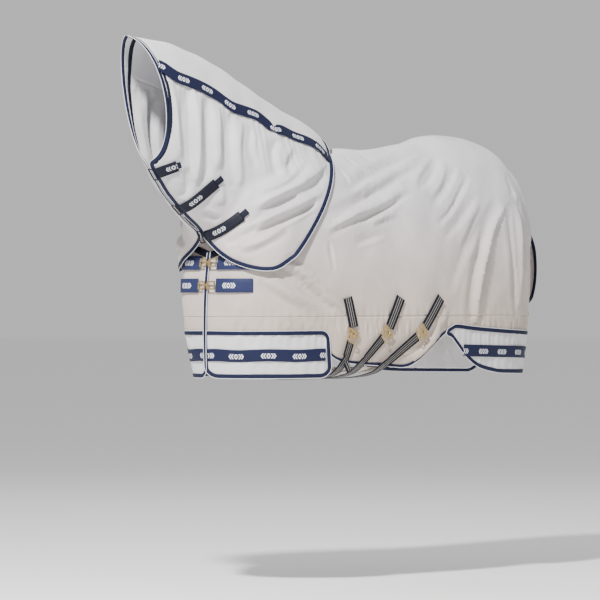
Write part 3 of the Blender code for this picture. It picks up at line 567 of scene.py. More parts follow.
navy_binding = ribbed("navy binding", (0.008, 0.011, 0.038), sheen=0.0)
navy_lining = ribbed("navy lining", (0.006, 0.008, 0.018), 0.7, sheen=0.0)
pale_piping = ribbed("pale piping", (0.70, 0.70, 0.73), 0.35)
hook_loop = ribbed("hook and loop tape", (0.008, 0.009, 0.02), 0.75, 0.0024, 0.0)
motif_tape = lozenge_tape("tape with lozenges", (0.010, 0.013, 0.045), (0.72, 0.73, 0.78), 0.12, 0.05)
neck_motif = lozenge_tape("neck tape with lozenges", (0.008, 0.010, 0.034), (0.70, 0.71, 0.76), 0.12, 0.045)
patch_motif = lozenge_tape(
    "patch with lozenges", (0.020, 0.026, 0.078), (0.76, 0.77, 0.80), 0.17, 0.052, phase=0.105
)
tab_motif = lozenge_tape(
    "throat tab with lozenges", (0.005, 0.006, 0.014), (0.55, 0.56, 0.60), 0.20, 0.042, phase=0.135
)
webbing = striped("striped webbing", 0.045)
grey_webbing = ribbed("grey webbing", (0.42, 0.41, 0.40))
print("tape finishes made")

# %% [markdown]
# The fittings are die-cast and plated in pale gold. A plated surface is a metal with low roughness, and
# fine scratches and handling marks change its roughness a little from place to place. Fittings that are
# already whole in the CAD model, such as the plates, rings and chest hooks, keep their own meshes and only
# take this finish.


# %% Metal and plastic finishes
def plating(name, colour, roughness):
    mat, shader = new_material(name, colour, roughness, 1.0)
    place = node(mat, "ShaderNodeTexCoord")
    noise = node(mat, "ShaderNodeTexNoise", Scale=220.0, Detail=4.0)
    link(mat, place.outputs["Object"], noise.inputs["Vector"])
    spread = node(mat, "ShaderNodeMapRange")
    spread.inputs["To Min"].default_value = roughness - 0.06
    spread.inputs["To Max"].default_value = roughness + 0.14
    link(mat, noise.outputs["Fac"], spread.inputs["Value"])
    link(mat, spread.outputs["Result"], shader.inputs["Roughness"])
    bump = node(mat, "ShaderNodeBump", Strength=0.15, Distance=0.0003)
    link(mat, noise.outputs["Fac"], bump.inputs["Height"])
    link(mat, bump.outputs["Normal"], shader.inputs["Normal"])
    return mat


pale_gold = plating("pale gold plating", (0.80, 0.59, 0.29), 0.26)
keeper_plastic = ribbed("black keeper plastic", (0.015, 0.016, 0.02), 0.35, 0.006, 0.0)
for name, obj in nodes.items():
    if "hook" in name and "strap" not in name or "plate" in name or "ring" in name and "throat" not in name:
        obj.material_slots[0].material = pale_gold
    if name.startswith("throat_ring"):
        obj.material_slots[0].material = keeper_plastic
print("metal finishes made")

# %% [markdown]
# Each side of the rug is one wide piece of cloth above the long seam, with a strip below it. It is a single
# grid from the chest to the tail, pushed out and in by the folds. The seam along the spine is where both
# sides meet.


# %% The rug's sides
def pucker(points, z, pitch, depth, reach):
    """Small upright puckers that fade away from a sewn line at a height."""
    fade = np.exp(-(((points[:, 2] - z) / reach) ** 2))
    x = points[:, 0]
    wave = np.sin(x * 2 * np.pi / pitch + 1.7 * np.sin(x * 23)) * np.sin(x * 61 + 1)
    return depth * fade * wave


def soft_drape(points):
    """Slow unevenness that any hanging cloth has."""
    x, z = points[:, 0], points[:, 2]
    return 0.0016 * np.sin(x * 19 + z * 13) * np.sin(z * 17 - x * 7 + 1) + 0.001 * np.sin(x * 41 - z * 23)


def body_cloth(side, ribs, top, foot, lift=0.0, strength=1.0, puckers=()):
    """Places on the rug's form between two ribs and two edges, with its folds."""

    def place(s, t):
        u = ribs[0] + (ribs[1] - ribs[0]) * s
        fan = np.linspace(ribs[0], ribs[1], 241)
        v0, v1 = np.interp(u, fan, top(fan)), np.interp(u, fan, foot(fan))
        v = v0 + (v1 - v0) * t
        base = rib_points(rug_form, u, v)
        push = folded(base, body_folds, strength) + soft_drape(base) * strength
        for height, pitch, depth, reach in puckers:
            push = push + pucker(base, height, pitch, depth, reach)
        spine = np.clip(base[:, 1] / 0.04, 0.15, 1)
        return on_form(rug_form, u, v, side, lift + push * spine)

    return place


def neckline(u):
    return np.zeros_like(u)


SEAM_Z, PIPING_Z = HEM_Z + BAND + SKIRT, HEM_Z + BAND
SEAM_PUCKERS = (SEAM_Z, 0.05, 0.0022, 0.03)  # height, pitch, depth, reach
side_words = {NEAR: "near", OFF: "off"}
cad_words = {NEAR: "left", OFF: "right"}
for side, word in side_words.items():
    cad = cad_words[side]
    place = body_cloth(side, (0, LAST), neckline, at_rise(BAND + SKIRT), puckers=[SEAM_PUCKERS])
    cloth = grid_object(f"{word}_side_cloth", 300, 158, place, silver_mesh, (2.0, 0.95))
    thicken(cloth, CLOTH, side)
    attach(cloth, "body_sheet")
    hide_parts(f"{cad}_front_panel", f"{cad}_body_panel")

# %% [markdown]
# Below the long seam a narrow strip carries on to the hem. The hem bands at the front and back are separate
# pieces of whiter cloth, laid over its edge and rounded at their corners.

# %% Lower strips and hem bands
BAND_LIFT = 0.003
FRONT_INSET = 0.03  # in ribs, from the middle of the chest and from the shoulder


def strip_foot(u):
    return np.where(u < SHOULDER - 0.02, at_rise(BAND - 0.006)(u), side_foot(u))


def declare(obj, side, nodes_for, body="body_sheet", thickness=CLOTH):
    thicken(obj, thickness, side)
    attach(obj, body)
    if nodes_for:
        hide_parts(*nodes_for)


for side, word in side_words.items():
    cad = cad_words[side]
    rows = [
        SEAM_PUCKERS, (SEAM_Z - 0.032, 0.028, 0.0030, 0.016), (PIPING_Z + 0.012, 0.022, 0.0026, 0.02),
    ]
    place = body_cloth(side, (0, LAST), at_rise(BAND + SKIRT - 0.001), strip_foot, puckers=rows)
    strip = grid_object(f"{word}_lower_strip", 250, 22, place, silver_mesh, (2.0, 0.15))
    declare(strip, side, [f"{cad}_lower_panel"])
    rows = [(PIPING_Z - 0.02, 0.045, 0.0030, 0.03), (HEM_Z + 0.03, 0.07, 0.0025, 0.03)]
    front = (FRONT_INSET, SHOULDER - FRONT_INSET)
    place = body_cloth(side, front, at_rise(BAND), front_band_foot, BAND_LIFT, 0.5, rows)
    band = grid_object(f"{word}_front_band", 90, 26, place, white_band, (0.5, 0.15))
    declare(band, side, [f"{cad}_front_hem"])
    place = body_cloth(side, (ARCH, LAST), side_foot, rear_band_foot, BAND_LIFT, 0.6, rows)
    band = grid_object(f"{word}_rear_band", 110, 26, place, white_band, (0.7, 0.15))
    declare(band, side, [f"{cad}_rear_hem"])

# %% [markdown]
# Bindings, piping, tapes and straps are all a closed section carried along a line on the cloth. The helper
# takes the line, the direction across it and the direction out of the cloth, and lays the section out on a
# grid whose last row joins the first.


# %% Bands along a line
def carry(name, path, across, up, section, material, body, slot="navy_tape", widths=None):
    """A closed section of (across, up) points carried along a path. U runs along it and V across it."""
    count, ring = len(path), len(section)
    section = np.array(section, float)
    lengths = np.concatenate([[0], np.cumsum(np.linalg.norm(np.diff(path, axis=0), axis=1))])
    widths = np.ones(count) if widths is None else widths

    def place(s, t):
        i, j = np.rint(s * (count - 1)).astype(int), np.rint(t * ring).astype(int) % ring
        return path[i] + across[i] * (section[j, 0] * widths[i])[:, None] + up[i] * section[j, 1][:, None]

    obj = grid_object(name, count - 1, ring, place, material, close=True)
    uv = obj.data.uv_layers["cloth"].data
    points = np.empty(len(obj.data.vertices) * 3)
    obj.data.vertices.foreach_get("co", points)
    points = points.reshape(-1, 3)
    near = np.concatenate([
        np.linalg.norm(some[:, None] - path[None], axis=2).argmin(axis=1)
        for some in np.array_split(points, max(1, len(points) // 2000))
    ])
    over = ((points - path[near]) * across[near]).sum(axis=1) - section[:, 0].min()
    for loop in obj.data.loops:
        k = loop.vertex_index
        uv[loop.index].uv = (lengths[near[k]], over[k])
    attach(obj, body)
    return obj


def line_on(form, u, v, side, lift=0.0, turn=1):
    """A line on the form: its points, the direction across it and the direction out."""
    path = on_form(form, u, v, side, lift)
    up = outward(form, u, v) * np.array([1, side, 1])
    along = unit(np.gradient(path, axis=0))
    return path, unit(np.cross(up, along)) * turn, up


print("bands can be carried")

# %% [markdown]
# A tape's section is flat with its edges rounded off, and a cord's is round. A binding's section is a
# folded tape with the edge of the cloth inside it. Lines that turn a corner are joined from straight runs,
# then spaced evenly and smoothed a little, so that the section turns without a kink.


# %% Sections and bindings
def flat_section(width, thick, lift=0.0):
    """A flat tape's section with rounded edges."""
    w, e = width / 2, min(thick, 0.0012)
    return [
        (-w, lift + thick / 2), (-w + e, lift + thick), (-w / 3, lift + thick), (w / 3, lift + thick),
        (w - e, lift + thick), (w, lift + thick / 2), (w - e, lift), (-w + e, lift),
    ]


def round_section(radius, across, lift, count=8):
    """A cord's section, its centre a distance across and a lift above the line."""
    turns = [2 * math.pi * k / count for k in range(count)]
    return [(across + radius * math.cos(turn), lift + radius * math.sin(turn)) for turn in turns]


BIND = 0.012


def piping(name, lines, body="body_sheet", width=BIND):
    """The pale cord along a binding's inner edge."""
    return carry(name, *lines, round_section(0.0013, width + 0.0008, CLOTH + 0.0007), pale_piping, body)


def bind(name, lines, body="body_sheet", width=BIND, cord=True):
    """A folded binding over an edge, and the pale cord inside it."""
    top, under = CLOTH + 0.0014, -0.0012
    section = [
        (-0.0030, 0.0009), (-0.0020, top - 0.0003), (0.0, top), (width / 2, top), (width, top - 0.0002),
        (width, under), (0.0, under), (-0.0022, under + 0.0006),
    ]
    pieces = [carry(name, *lines, section, navy_binding, body)]
    if cord:
        pieces.append(piping(name + "_cord", lines, body, width))
    return pieces


def joined(*parts):
    """Several runs of (u, v) as one line, spaced evenly enough."""
    return np.concatenate([p[0] for p in parts]), np.concatenate([p[1] for p in parts])


def even(u, v, form=rug_form, spacing=0.006):
    """The same line on the form with evenly spaced points."""
    p = rib_points(form, u, v)
    lengths = np.concatenate([[0], np.cumsum(np.linalg.norm(np.diff(p, axis=0), axis=1))])
    keep = np.concatenate([[True], np.diff(lengths) > 1e-7])
    at = np.linspace(0, lengths[-1], int(lengths[-1] / spacing) + 2)
    u, v = np.interp(at, lengths[keep], u[keep]), np.interp(at, lengths[keep], v[keep])
    for _ in range(2):
        u[1:-1], v[1:-1] = (u[:-2] + u[1:-1] * 2 + u[2:]) / 4, (v[:-2] + v[1:-1] * 2 + v[2:]) / 4
    return u, v


print("binding width", BIND)

# %% [markdown]
# A navy binding folds over every free edge of the rug, with a thin pale cord on its inner side. On the real
# sheet one length of tape is sewn round each corner, so each binding here follows one unbroken line of
# places on the form: down the chest opening and round the front band, along the side hem, and round the
# rear band up to the dock.

# %% Bindings on the rug
OPENING_TOP, REAR_EDGE_TOP = 0.452, 0.70
bound = []
for side, word in side_words.items():
    # the front: down the opening, round the band and back along its top
    down_rise = np.linspace(OPENING_TOP, CORNER, 56)
    start = np.full(56, FRONT_INSET)
    along = np.linspace(FRONT_INSET, SHOULDER - FRONT_INSET, 160)
    ends = np.linspace(CORNER, BAND - 0.02, 20)
    back_u = np.full(20, SHOULDER - FRONT_INSET)
    turn_u = SHOULDER - FRONT_INSET - 0.12 * (1 - np.cos(np.linspace(0, np.pi / 2, 12)))
    turn_rise = BAND - 0.02 + 0.02 * np.sin(np.linspace(0, np.pi / 2, 12))
    top_u = np.linspace(SHOULDER - 0.16, FRONT_INSET, 120)
    u, v = joined(
        (start, level(start, HEM_Z + down_rise)), (along, front_band_foot(along)),
        (back_u, level(back_u, HEM_Z + ends)), (turn_u, level(turn_u, HEM_Z + turn_rise)),
        (top_u, level(top_u, HEM_Z + BAND)),
    )
    u, v = even(u, v)
    bound += bind(f"{word}_front_binding", line_on(rug_form, u, v, side, BAND_LIFT + 0.0006, side))
    # the side hem, up to the arch
    u = np.linspace(SHOULDER - 0.05, ARCH + 0.2, 150)
    line = line_on(rug_form, *even(u, side_foot(u)), side, 0, side)
    bound += bind(f"{word}_side_hem_binding", line, width=0.007)
    # the back: piping over the band, then round the band and up the rear edge
    top_u = np.linspace(LAST - 0.05, ARCH + 0.25, 120)
    foot_u = np.linspace(ARCH + 0.02, LAST, 160)
    up_u, up_rise = np.full(120, LAST - 0.001), np.linspace(CORNER, REAR_EDGE_TOP, 120)
    u, v = joined(
        (top_u, side_foot(top_u)), (foot_u, rear_band_foot(foot_u)), (up_u, level(up_u, HEM_Z + up_rise)),
    )
    u, v = even(u, v)
    line = line_on(rug_form, u, v, side, BAND_LIFT + 0.0006, side)
    bound += bind(f"{word}_rear_binding", line, cord=False)
    # the cord stops where the leg-strap loop is sewn over it
    loop_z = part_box(f"leg_ring_{cad_words[side]}")[1][2] + 0.007
    gap = np.flatnonzero(abs(line[0][:, 2] - loop_z) < 0.034)
    for end, kept in (("lower", slice(0, gap[0])), ("upper", slice(gap[-1] + 1, None))):
        bound.append(piping(f"{word}_rear_{end}_cord", [part[kept] for part in line]))
print("bindings", len(bound))

# %% [markdown]
# A woven tape with a plain geometric motif is sewn along each hem band. It is a flat section carried along
# a line a little above the band, rather than a stripe in the band's colour, because the real tape has its
# own thickness and throws a thin shadow.

# %% Hem tapes
HEM_TAPE, TAPE_THICK = 0.046, 0.0010
for side, word in side_words.items():
    cad = cad_words[side]
    u = np.linspace(0.06, SHOULDER - 0.10, 140)
    rise = 0.072 + 0.0015 * np.sin(u * 5)
    line = line_on(rug_form, u, level(u, HEM_Z + rise), side, BAND_LIFT + CLOTH + 0.0012, side)
    tape = carry(f"{word}_front_tape", *line, flat_section(HEM_TAPE, TAPE_THICK), motif_tape, "body_sheet")
    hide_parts(f"{cad}_front_tape")
    u = np.linspace(8.0, LAST - 0.05, 150)
    rise = 0.083 - 0.018 * (u - 8) / 4
    line = line_on(rug_form, u, level(u, HEM_Z + rise), side, BAND_LIFT + CLOTH + 0.0014, side)
    tape = carry(f"{word}_rear_tape", *line, flat_section(HEM_TAPE, TAPE_THICK), motif_tape, "body_sheet")
    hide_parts(f"{cad}_rear_tape")
print("hem tapes made")

# %% [markdown]
# Along the neck opening a navy facing is sewn inside the edge, and inside the chest opening lies a plain
# facing. The facing is laid by its width measured on the cloth, because ribs differ in length and a fixed
# share of each would make it wider at the shoulder than at the withers.


# %% Collar and chest facing
def drop_share(form, u, distance):
    """How far down each rib a distance from its top is, measured on the cloth."""
    u = np.atleast_1d(u)
    shares = np.linspace(0, 1, 121)
    out = np.empty(len(u))
    for k, rib in enumerate(u):
        p = rib_points(form, np.full(121, rib), shares)
        lengths = np.concatenate([[0], np.cumsum(np.linalg.norm(np.diff(p, axis=0), axis=1))])
        out[k] = np.interp(np.broadcast_to(distance, u.shape)[k], lengths, shares)
    return out


def cached(values, low, high, count=121):
    """A slow edge function, worked out once and then read by rib."""
    at = np.linspace(low, high, count)
    known = values(at)
    return lambda u: np.interp(u, at, known)


# The navy collar is 28 mm wide and widens to 55 mm between ribs 1.4 and 2.4; that extra width is partly
# painted shade, a dark sheet that also stands for the shadow under the neck cover's lobe.
collar_foot = cached(lambda u: drop_share(rug_form, u, 0.028 + 0.027 * np.clip(u - 1.4, 0, 1)), 0, 5.7)
for side, word in side_words.items():
    cad = cad_words[side]
    place = body_cloth(side, (0.03, 4.15), lambda u: np.full_like(u, 0.004), collar_foot, 0.0034, 0.8)
    collar = grid_object(f"{word}_collar", 120, 6, place, navy_lining, (0.8, 0.05))
    cover = [f"{cad}_chest_collar", f"{cad}_shoulder_collar"]
    declare(collar, side, cover, thickness=0.0010)


def facing(s, t):
    u = 0.42 * np.abs(2 * s - 1)
    v = 0.03 + (0.985 - 0.03) * t
    side = np.where(s < 0.5, NEAR, OFF)
    points = rib_points(rug_form, u, v)
    return points * np.stack([np.ones_like(s), side, np.ones_like(s)], axis=1) + np.array([0.006, 0, 0])


inner = grid_object("chest_facing_cloth", 24, 60, facing, silver_mesh, (0.13, 0.45))
inner.data.flip_normals()
declare(inner, NEAR, ["chest_facing"])
print("collars and facing made")

# %% [markdown]
# The neck cover is drawn over the neck and lies on the rug's shoulders as a rounded lobe on each side. Its
# form passes through the rug near the withers, so each point too near the rug is moved out along the rug's
# own normal. A Shrinkwrap modifier could do that too, but it would flatten the folds that are added
# afterwards.

# %% Room between the neck cover and the rug
NECK_GAP, BLEND = 0.0115, 0.01
grid_u, grid_v = np.meshgrid(np.linspace(0, LAST, 140), np.linspace(-0.1, 1, 80), indexing="ij")
rug_skin = rib_points(rug_form, grid_u.ravel(), grid_v.ravel())
skin_points, skin_faces = [], []
for side in (NEAR, OFF):
    base = len(skin_points)
    skin_points += [Vector(p) for p in rug_skin * np.array([1, side, 1])]
    for i in range(139):
        for j in range(79):
            a = base + i * 80 + j
            face = (a, a + 1, a + 81, a + 80)
            skin_faces.append(face if side == NEAR else face[::-1])
rug_tree = BVHTree.FromPolygons(skin_points, skin_faces)


def clear_of_rug(points):
    """Moves points out of the rug where they are in it or too near it."""
    out = points.copy()
    for k, p in enumerate(points):
        near, normal, _, distance = rug_tree.find_nearest(Vector(p), 0.14)
        if near is None:
            continue
        inside = (Vector(p) - near).dot(normal) < 0
        height = -distance if inside else distance
        if height < NECK_GAP + BLEND:
            eased = NECK_GAP + (height - NECK_GAP + BLEND) ** 2 / (4 * BLEND)
            out[k] = near + normal * (NECK_GAP if height < NECK_GAP - BLEND else eased)
    return out


print("rug surface", len(skin_faces), "faces")

# %% [markdown]
# Three throat tabs are pressed on to the cover from its lower edge. Cloth under a tab lies flat, so the
# places of the tabs are settled before the cloth, and the folds fade out round them.


# %% Where the throat tabs lie
def neck_foot(u):
    """The cover's lower edge, cut back a little under the throat."""
    return 1 - 0.035 * np.clip(3.6 - u, 0, 1)


TAB_WIDTH, TABS = 0.042, ((0.43, 0.085, 0.45), (1.98, 0.145, 0.30), (3.08, 0.15, 0.25))
TAB_PLACES = []
for u, length, lean in TABS:
    pair = rib_points(neck_form, np.array([u, u]), np.array([0.8, 0.9]))
    span = length / np.linalg.norm(pair[1] - pair[0]) * 0.1
    TAB_PLACES.append((u, float(neck_foot(np.array([u]))[0]) - 0.012, span, lean))


def held_flat(u, v):
    """1 where a throat tab holds the cloth flat, fading to 0 round it."""
    held = np.zeros(len(u))
    for start_u, start, span, lean in TAB_PLACES:
        share = (start - v) / span
        beside = u - start_u - lean * np.clip(share, 0, 1.3) ** 1.7
        past = np.clip(share - 1.2, 0, 9) / 0.25
        held = np.maximum(held, np.exp(-((beside / 0.3) ** 4)) * np.exp(-(past**2)))
    return held


print("throat tabs at", [round(place[0], 2) for place in TAB_PLACES])

# %% [markdown]
# Each side of the cover is gathered into the seam under a wavy tape, and hangs from there in upright folds
# that fade towards the throat. The gathers are a short ripple added to the long folds. Along the free edges
# the folds are held back, because the binding keeps an edge nearly straight.

# %% Neck cover surface
TAPE_DROP = 0.185
DEEPEST = -0.011


def tape_wave(u):
    """The tape dips where the cloth bunches, and rises towards the ears."""
    dips = 0.016 * np.exp(-(((u - 2.15) / 0.28) ** 2)) + 0.014 * np.exp(-(((u - 3.3) / 0.22) ** 2))
    return dips - 0.03 * np.exp(-((u / 0.35) ** 2)) - 0.006 * np.exp(-(((u - 2.8) / 0.2) ** 2))


tape_share = cached(lambda u: drop_share(neck_form, u, TAPE_DROP + tape_wave(u)), 0, LAST_NECK)


def neck_surface(u, v, side, lift=0.0):
    """Points on the neck cover with its folds, and its normals."""
    step = 0.02

    def bare(a, b):
        return clear_of_rug(rib_points(neck_form, a, b))

    points = bare(u, v)
    along = bare(np.minimum(u + step, LAST_NECK), v) - bare(np.maximum(u - step, 0), v)
    down = bare(u, np.minimum(v + step, 1)) - bare(u, np.maximum(v - step, 0))
    up = unit(np.cross(along, down))
    base = rib_points(neck_form, u, v)
    below = np.clip((v - tape_share(u)) / 0.3, -1, 2)
    gather = np.exp(-((below / 0.55) ** 2)) * np.clip(below * 8, 0, 1)
    ripple = np.sin(base[:, 0] * 170 + 2.2 * np.sin(base[:, 0] * 37)) * np.sin(base[:, 0] * 23 + 0.7)
    push = folded(base, neck_folds) + 0.0022 * gather * ripple + soft_drape(base)
    push = np.maximum(push, DEEPEST)
    edge = np.clip(np.minimum.reduce([u * 6, (LAST_NECK - u) * 4, (1 - v) * 14]), 0, 1)
    push = push * (0.25 + 0.75 * edge) * (1 - 0.85 * held_flat(u, v)) + 0.004 * edge
    points = points + up * (push + lift)[:, None]
    return points * np.array([1, side, 1]), up * np.array([1, side, 1])


print("tape", TAPE_DROP, "m below the crest line")

# %% [markdown]
# The cover is three cloths, as the real one is sewn: one over the crest and one down each side. All three
# are grids on the same surface, so their edges meet under the tape.


# %% Crest and neck sides
def crest_cloth(s, t):
    across = 2 * t - 1
    u = LAST_NECK * s
    v = np.abs(across) * tape_share(u)
    points, _ = neck_surface(u, v, OFF)
    points[:, 1] *= np.where(across < 0, NEAR, OFF)
    return points


crest = grid_object("neck_crest_cloth", 170, 40, crest_cloth, silver_mesh, (1.1, 0.39))
crest.data.flip_normals()
declare(crest, NEAR, ["neck_crest_panel"], "neck_cover")
for side, word in side_words.items():
    def side_cloth(s, t, side=side):
        u = LAST_NECK * s
        v = tape_share(u) + (neck_foot(u) - tape_share(u)) * t
        return neck_surface(u, v, side)[0]

    panel = grid_object(f"{word}_neck_cloth", 180, 96, side_cloth, silver_mesh, (1.0, 0.5))
    stands_for = [f"neck_{cad_words[side]}_panel"]
    declare(panel, side, stands_for, "neck_cover")

# %% [markdown]
# The wavy tape covers the seam between crest and sides, and pinches where the cloth bunches under it. A
# binding runs round the whole free edge of each side, and a navy band lines the face opening, which shows
# from the front.


# %% Neck tape and bindings
def neck_line(u, v, side, lift=0.0, turn=1):
    """A line on the neck cover: its points, the direction across it and the direction out."""
    path, up = neck_surface(u, v, side, lift)
    along = unit(np.gradient(path, axis=0))
    return path, unit(np.cross(up, along)) * turn, up


NECK_TAPE, LINING = 0.045, 0.030
for side, word in side_words.items():
    u = np.linspace(0.02, LAST_NECK - 0.02, 260)
    line = neck_line(u, tape_share(u), side, CLOTH + 0.0026, side)
    pinch = 1 - 0.45 * np.exp(-(((u - 3.3) / 0.10) ** 2)) - 0.12 * np.exp(-(((u - 1.9) / 0.2) ** 2))
    section = flat_section(NECK_TAPE, 0.0012)
    tape = carry(f"{word}_neck_tape", *line, section, neck_motif, "neck_cover", widths=pinch)
    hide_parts(f"neck_{cad_words[side]}_tape")
    front_v = np.linspace(0.0, float(neck_foot(np.zeros(1))[0]), 120)
    throat_u = np.linspace(0, LAST_NECK, 300)
    rear_v = np.linspace(1, 0, 140)
    u, v = joined(
        (np.zeros(120), front_v), (throat_u, neck_foot(throat_u)), (np.full(140, float(LAST_NECK)), rear_v),
    )
    u, v = even(u, v, neck_form)
    bind(f"{word}_neck_binding", neck_line(u, v, side, 0.0006, side), "neck_cover")
    # the navy band that lines the face opening
    line = neck_line(np.full(110, 0.16), np.linspace(0.0, 0.955, 110), side, -0.0022, side)
    section = flat_section(LINING, 0.0010)
    carry(f"{word}_face_lining", *line, section, navy_lining, "neck_cover", "navy_lining")
print("neck cover made")

# %% [markdown]
# The tail flap hangs from the dock on its own hinge line and curves round the tail. It swings as one piece,
# so its top edge is the hinge. A small yoke, sewn to the croup, carries it and stays still.

# %% Tail flap and its yoke
tail_low, tail_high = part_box("tail_flap")
TAIL_TOP, TAIL_LENGTH, TAIL_WIDTH = tail_high[2], tail_high[2] - tail_low[2], tail_high[1] - tail_low[1]
TAIL_X = 0.991


def tail_cloth(s, t):
    across = 2 * s - 1
    half = TAIL_WIDTH / 2 * (0.34 + 0.66 * (1 - (1 - np.minimum(1, t * 1.9)) ** 2))
    z = TAIL_TOP - TAIL_LENGTH * t + 0.03 * t**4 * across**4
    bulge = 0.085 * np.sin(np.pi * np.minimum(1, t * 0.72 + 0.02))
    x = TAIL_X + bulge - 0.045 * across**2 * np.minimum(1, t * 3)
    x = x + 0.004 * t * np.cos(across * 9 + 0.5) + 0.002 * np.sin(across * 17 + t * 6) * t
    return np.stack([x, half * across, z], axis=1)


flap = grid_object("tail_flap_cloth", 50, 70, tail_cloth, silver_mesh, (0.3, 0.42))
declare(flap, OFF, ["tail_flap"], "tail_flap")
edge_s = np.concatenate([np.zeros(70), np.linspace(0, 1, 50)[1:], np.ones(69)])
edge_t = np.concatenate([np.linspace(0.02, 1, 70), np.ones(49), np.linspace(1, 0.02, 70)[1:]])
path = tail_cloth(edge_s, edge_t)
inside = unit(np.array([[0, 0, TAIL_TOP - TAIL_LENGTH / 2]]) - path)
inside[:, 0] = 0
tail_out = np.tile([1.0, 0.0, 0.0], (len(path), 1))
bind("tail_flap_binding", (path, unit(inside), tail_out), "tail_flap")


def dock_cloth(s, t):
    """The yoke lies on the croup, then crosses from the rug's edge to the hinge line."""
    across = 2 * s - 1
    lie = np.minimum(t / 0.75, 1)
    laid = on_form(rug_form, LAST - 0.5 + 0.5 * lie, np.abs(across) * 0.14, OFF, 0.004)
    laid[:, 1] *= np.sign(across)
    line_x, line_z = np.full(len(s), TAIL_X - 0.003), np.full(len(s), TAIL_TOP + 0.002)
    hinge = np.stack([line_x, 0.050 * across, line_z], axis=1)
    cross = np.clip((t - 0.75) / 0.25, 0, 1)[:, None]
    return laid * (1 - cross) + hinge * cross


dock = grid_object("tail_flap_yoke", 24, 16, dock_cloth, silver_mesh, (0.11, 0.06))
declare(dock, NEAR, [])

# %% [markdown]
# The belly flap is sewn inside the off side and drawn under the belly to the near side. It hangs in a
# shallow loop, and the same loop later guides the straps that cross under it.

# %% Belly flap
belly_low, belly_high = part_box("belly_flap")


def belly_line(x, share, rise=0.0):
    """The loop under the belly, from the near side to the off side."""
    x, share = np.broadcast_arrays(np.atleast_1d(x).astype(float), np.atleast_1d(share).astype(float))
    ribs = np.linspace(0, LAST, 300)
    feet = rib_points(rug_form, ribs, np.ones(300))
    half = np.interp(x, feet[:, 0], feet[:, 1]) - 0.016
    angle = np.pi * share
    z = HEM_Z + 0.04 - 0.055 * np.abs(np.sin(angle)) ** 0.7 + rise
    return np.stack([x, -half * np.cos(angle), z], axis=1)


def belly_cloth(s, t):
    x = belly_low[0] + (belly_high[0] - belly_low[0]) * s
    points = belly_line(x, 0.10 + 0.86 * t, 0.010)
    points[:, 2] += 0.5 * np.maximum(0, t - 0.9) + 0.003 * np.sin(s * 14) * np.sin(np.pi * t)
    return points


belly = grid_object("belly_flap_cloth", 40, 90, belly_cloth, silver_mesh, (0.3, 0.6))
belly.data.flip_normals()
declare(belly, NEAR, ["belly_flap"])
for name, s in (("front", 0.0), ("rear", 1.0)):
    t = np.linspace(0, 1, 110)
    path = belly_cloth(np.full(110, s), t)
    across = np.tile([1.0 if s == 0 else -1.0, 0, 0], (110, 1))
    up = unit(np.cross(unit(np.gradient(path, axis=0)), across)) * (1 if s == 0 else -1)
    bind(f"belly_flap_{name}_binding", (path, across, up))
print("belly flap", round(belly_high[0] - belly_low[0], 3), "m wide")

# %% [markdown]
# Straps lie on the cloth, so their lines are places on the form. They are easiest to give as seen from the
# side, by distance and height, so a helper finds the rib and the share down it for such a place: the
# nearest of many known points first, then a few steps of Newton's method.


# %% Places seen from the side
def spots(x, z):
    """Rib and share of places on the side, from distance and height."""
    x, z = np.atleast_1d(np.asarray(x, float)), np.atleast_1d(np.asarray(z, float))
    flat = (reference[None, :, 0] - x[:, None]) ** 2 + (reference[None, :, 2] - z[:, None]) ** 2
    k = flat.argmin(axis=1)
    u, v = reference_u[k].copy(), reference_v[k].copy()
    step = 0.01
    for _ in range(4):
        here = rib_points(rug_form, u, v)
        du = (rib_points(rug_form, u + step, v) - here) / step
        dv = (rib_points(rug_form, u, v + step) - here) / step
        det = du[:, 0] * dv[:, 2] - du[:, 2] * dv[:, 0]
        rx, rz = x - here[:, 0], z - here[:, 2]
        u = np.clip(u + (rx * dv[:, 2] - rz * dv[:, 0]) / det, 0, LAST)
        v = np.clip(v + (rz * du[:, 0] - rx * du[:, 2]) / det, 0, 1)
    return u, v


def strap_line(start, end, lift):
    """A straight line seen from the side, laid on the rug's near side."""
    u, v = spots(np.linspace(start[0], end[0], 24), np.linspace(start[1], end[1], 24))
    return line_on(rug_form, u, v, NEAR, lift)


def side_frame(x, z, towards, lift):
    """X down the strap, Y across it, Z out of the near side."""
    u, v = spots([x, towards[0]], [z, towards[1]])
    here, ahead = (Vector(p) for p in on_form(rug_form, u, v, NEAR))
    up = Vector(outward(rug_form, u, v)[0] * np.array([1, NEAR, 1]))
    down = ahead - here
    down = (down - up * down.dot(up)).normalized()
    matrix = Matrix((down, up.cross(down), up)).transposed().to_4x4()
    matrix.translation = here + up * lift
    return matrix


print("side seen through", len(reference), "known points")

# %% [markdown]
# The surcingle hooks are small flat castings: a frame with a window and a crossbar that holds the strap.
# Each part is a grid whose window cells are deleted, thickened, and bevelled on every edge, because a
# casting has no sharp ones. The place on the rug is put into the mesh itself.


# %% Cast pieces
def metal_piece(name, bm, matrix, body, bevel=0.0007):
    """A metal piece from a bmesh in its own frame, with its edges rounded and its place put into its mesh."""
    bmesh.ops.bevel(
        bm, geom=list(bm.edges), offset=bevel, offset_type="OFFSET", affect="EDGES", segments=2, profile=0.5,
        material=-1, clamp_overlap=True,
    )
    bmesh.ops.transform(bm, matrix=matrix, verts=bm.verts)
    bmesh.ops.recalc_face_normals(bm, faces=bm.faces)
    mesh = bpy.data.meshes.new(name)
    bm.to_mesh(mesh)
    bm.free()
    mesh.materials.append(pale_gold)
    obj = bpy.data.objects.new(name, mesh)
    bpy.context.scene.collection.objects.link(obj)
    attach(obj, body)
    return obj


def block(bm, low, high):
    """A block between two corners."""
    verts = bmesh.ops.create_cube(bm, size=1.0)["verts"]
    low, high = Vector(low), Vector(high)
    bmesh.ops.scale(bm, vec=high - low, verts=verts)
    bmesh.ops.translate(bm, vec=(low + high) / 2, verts=verts)


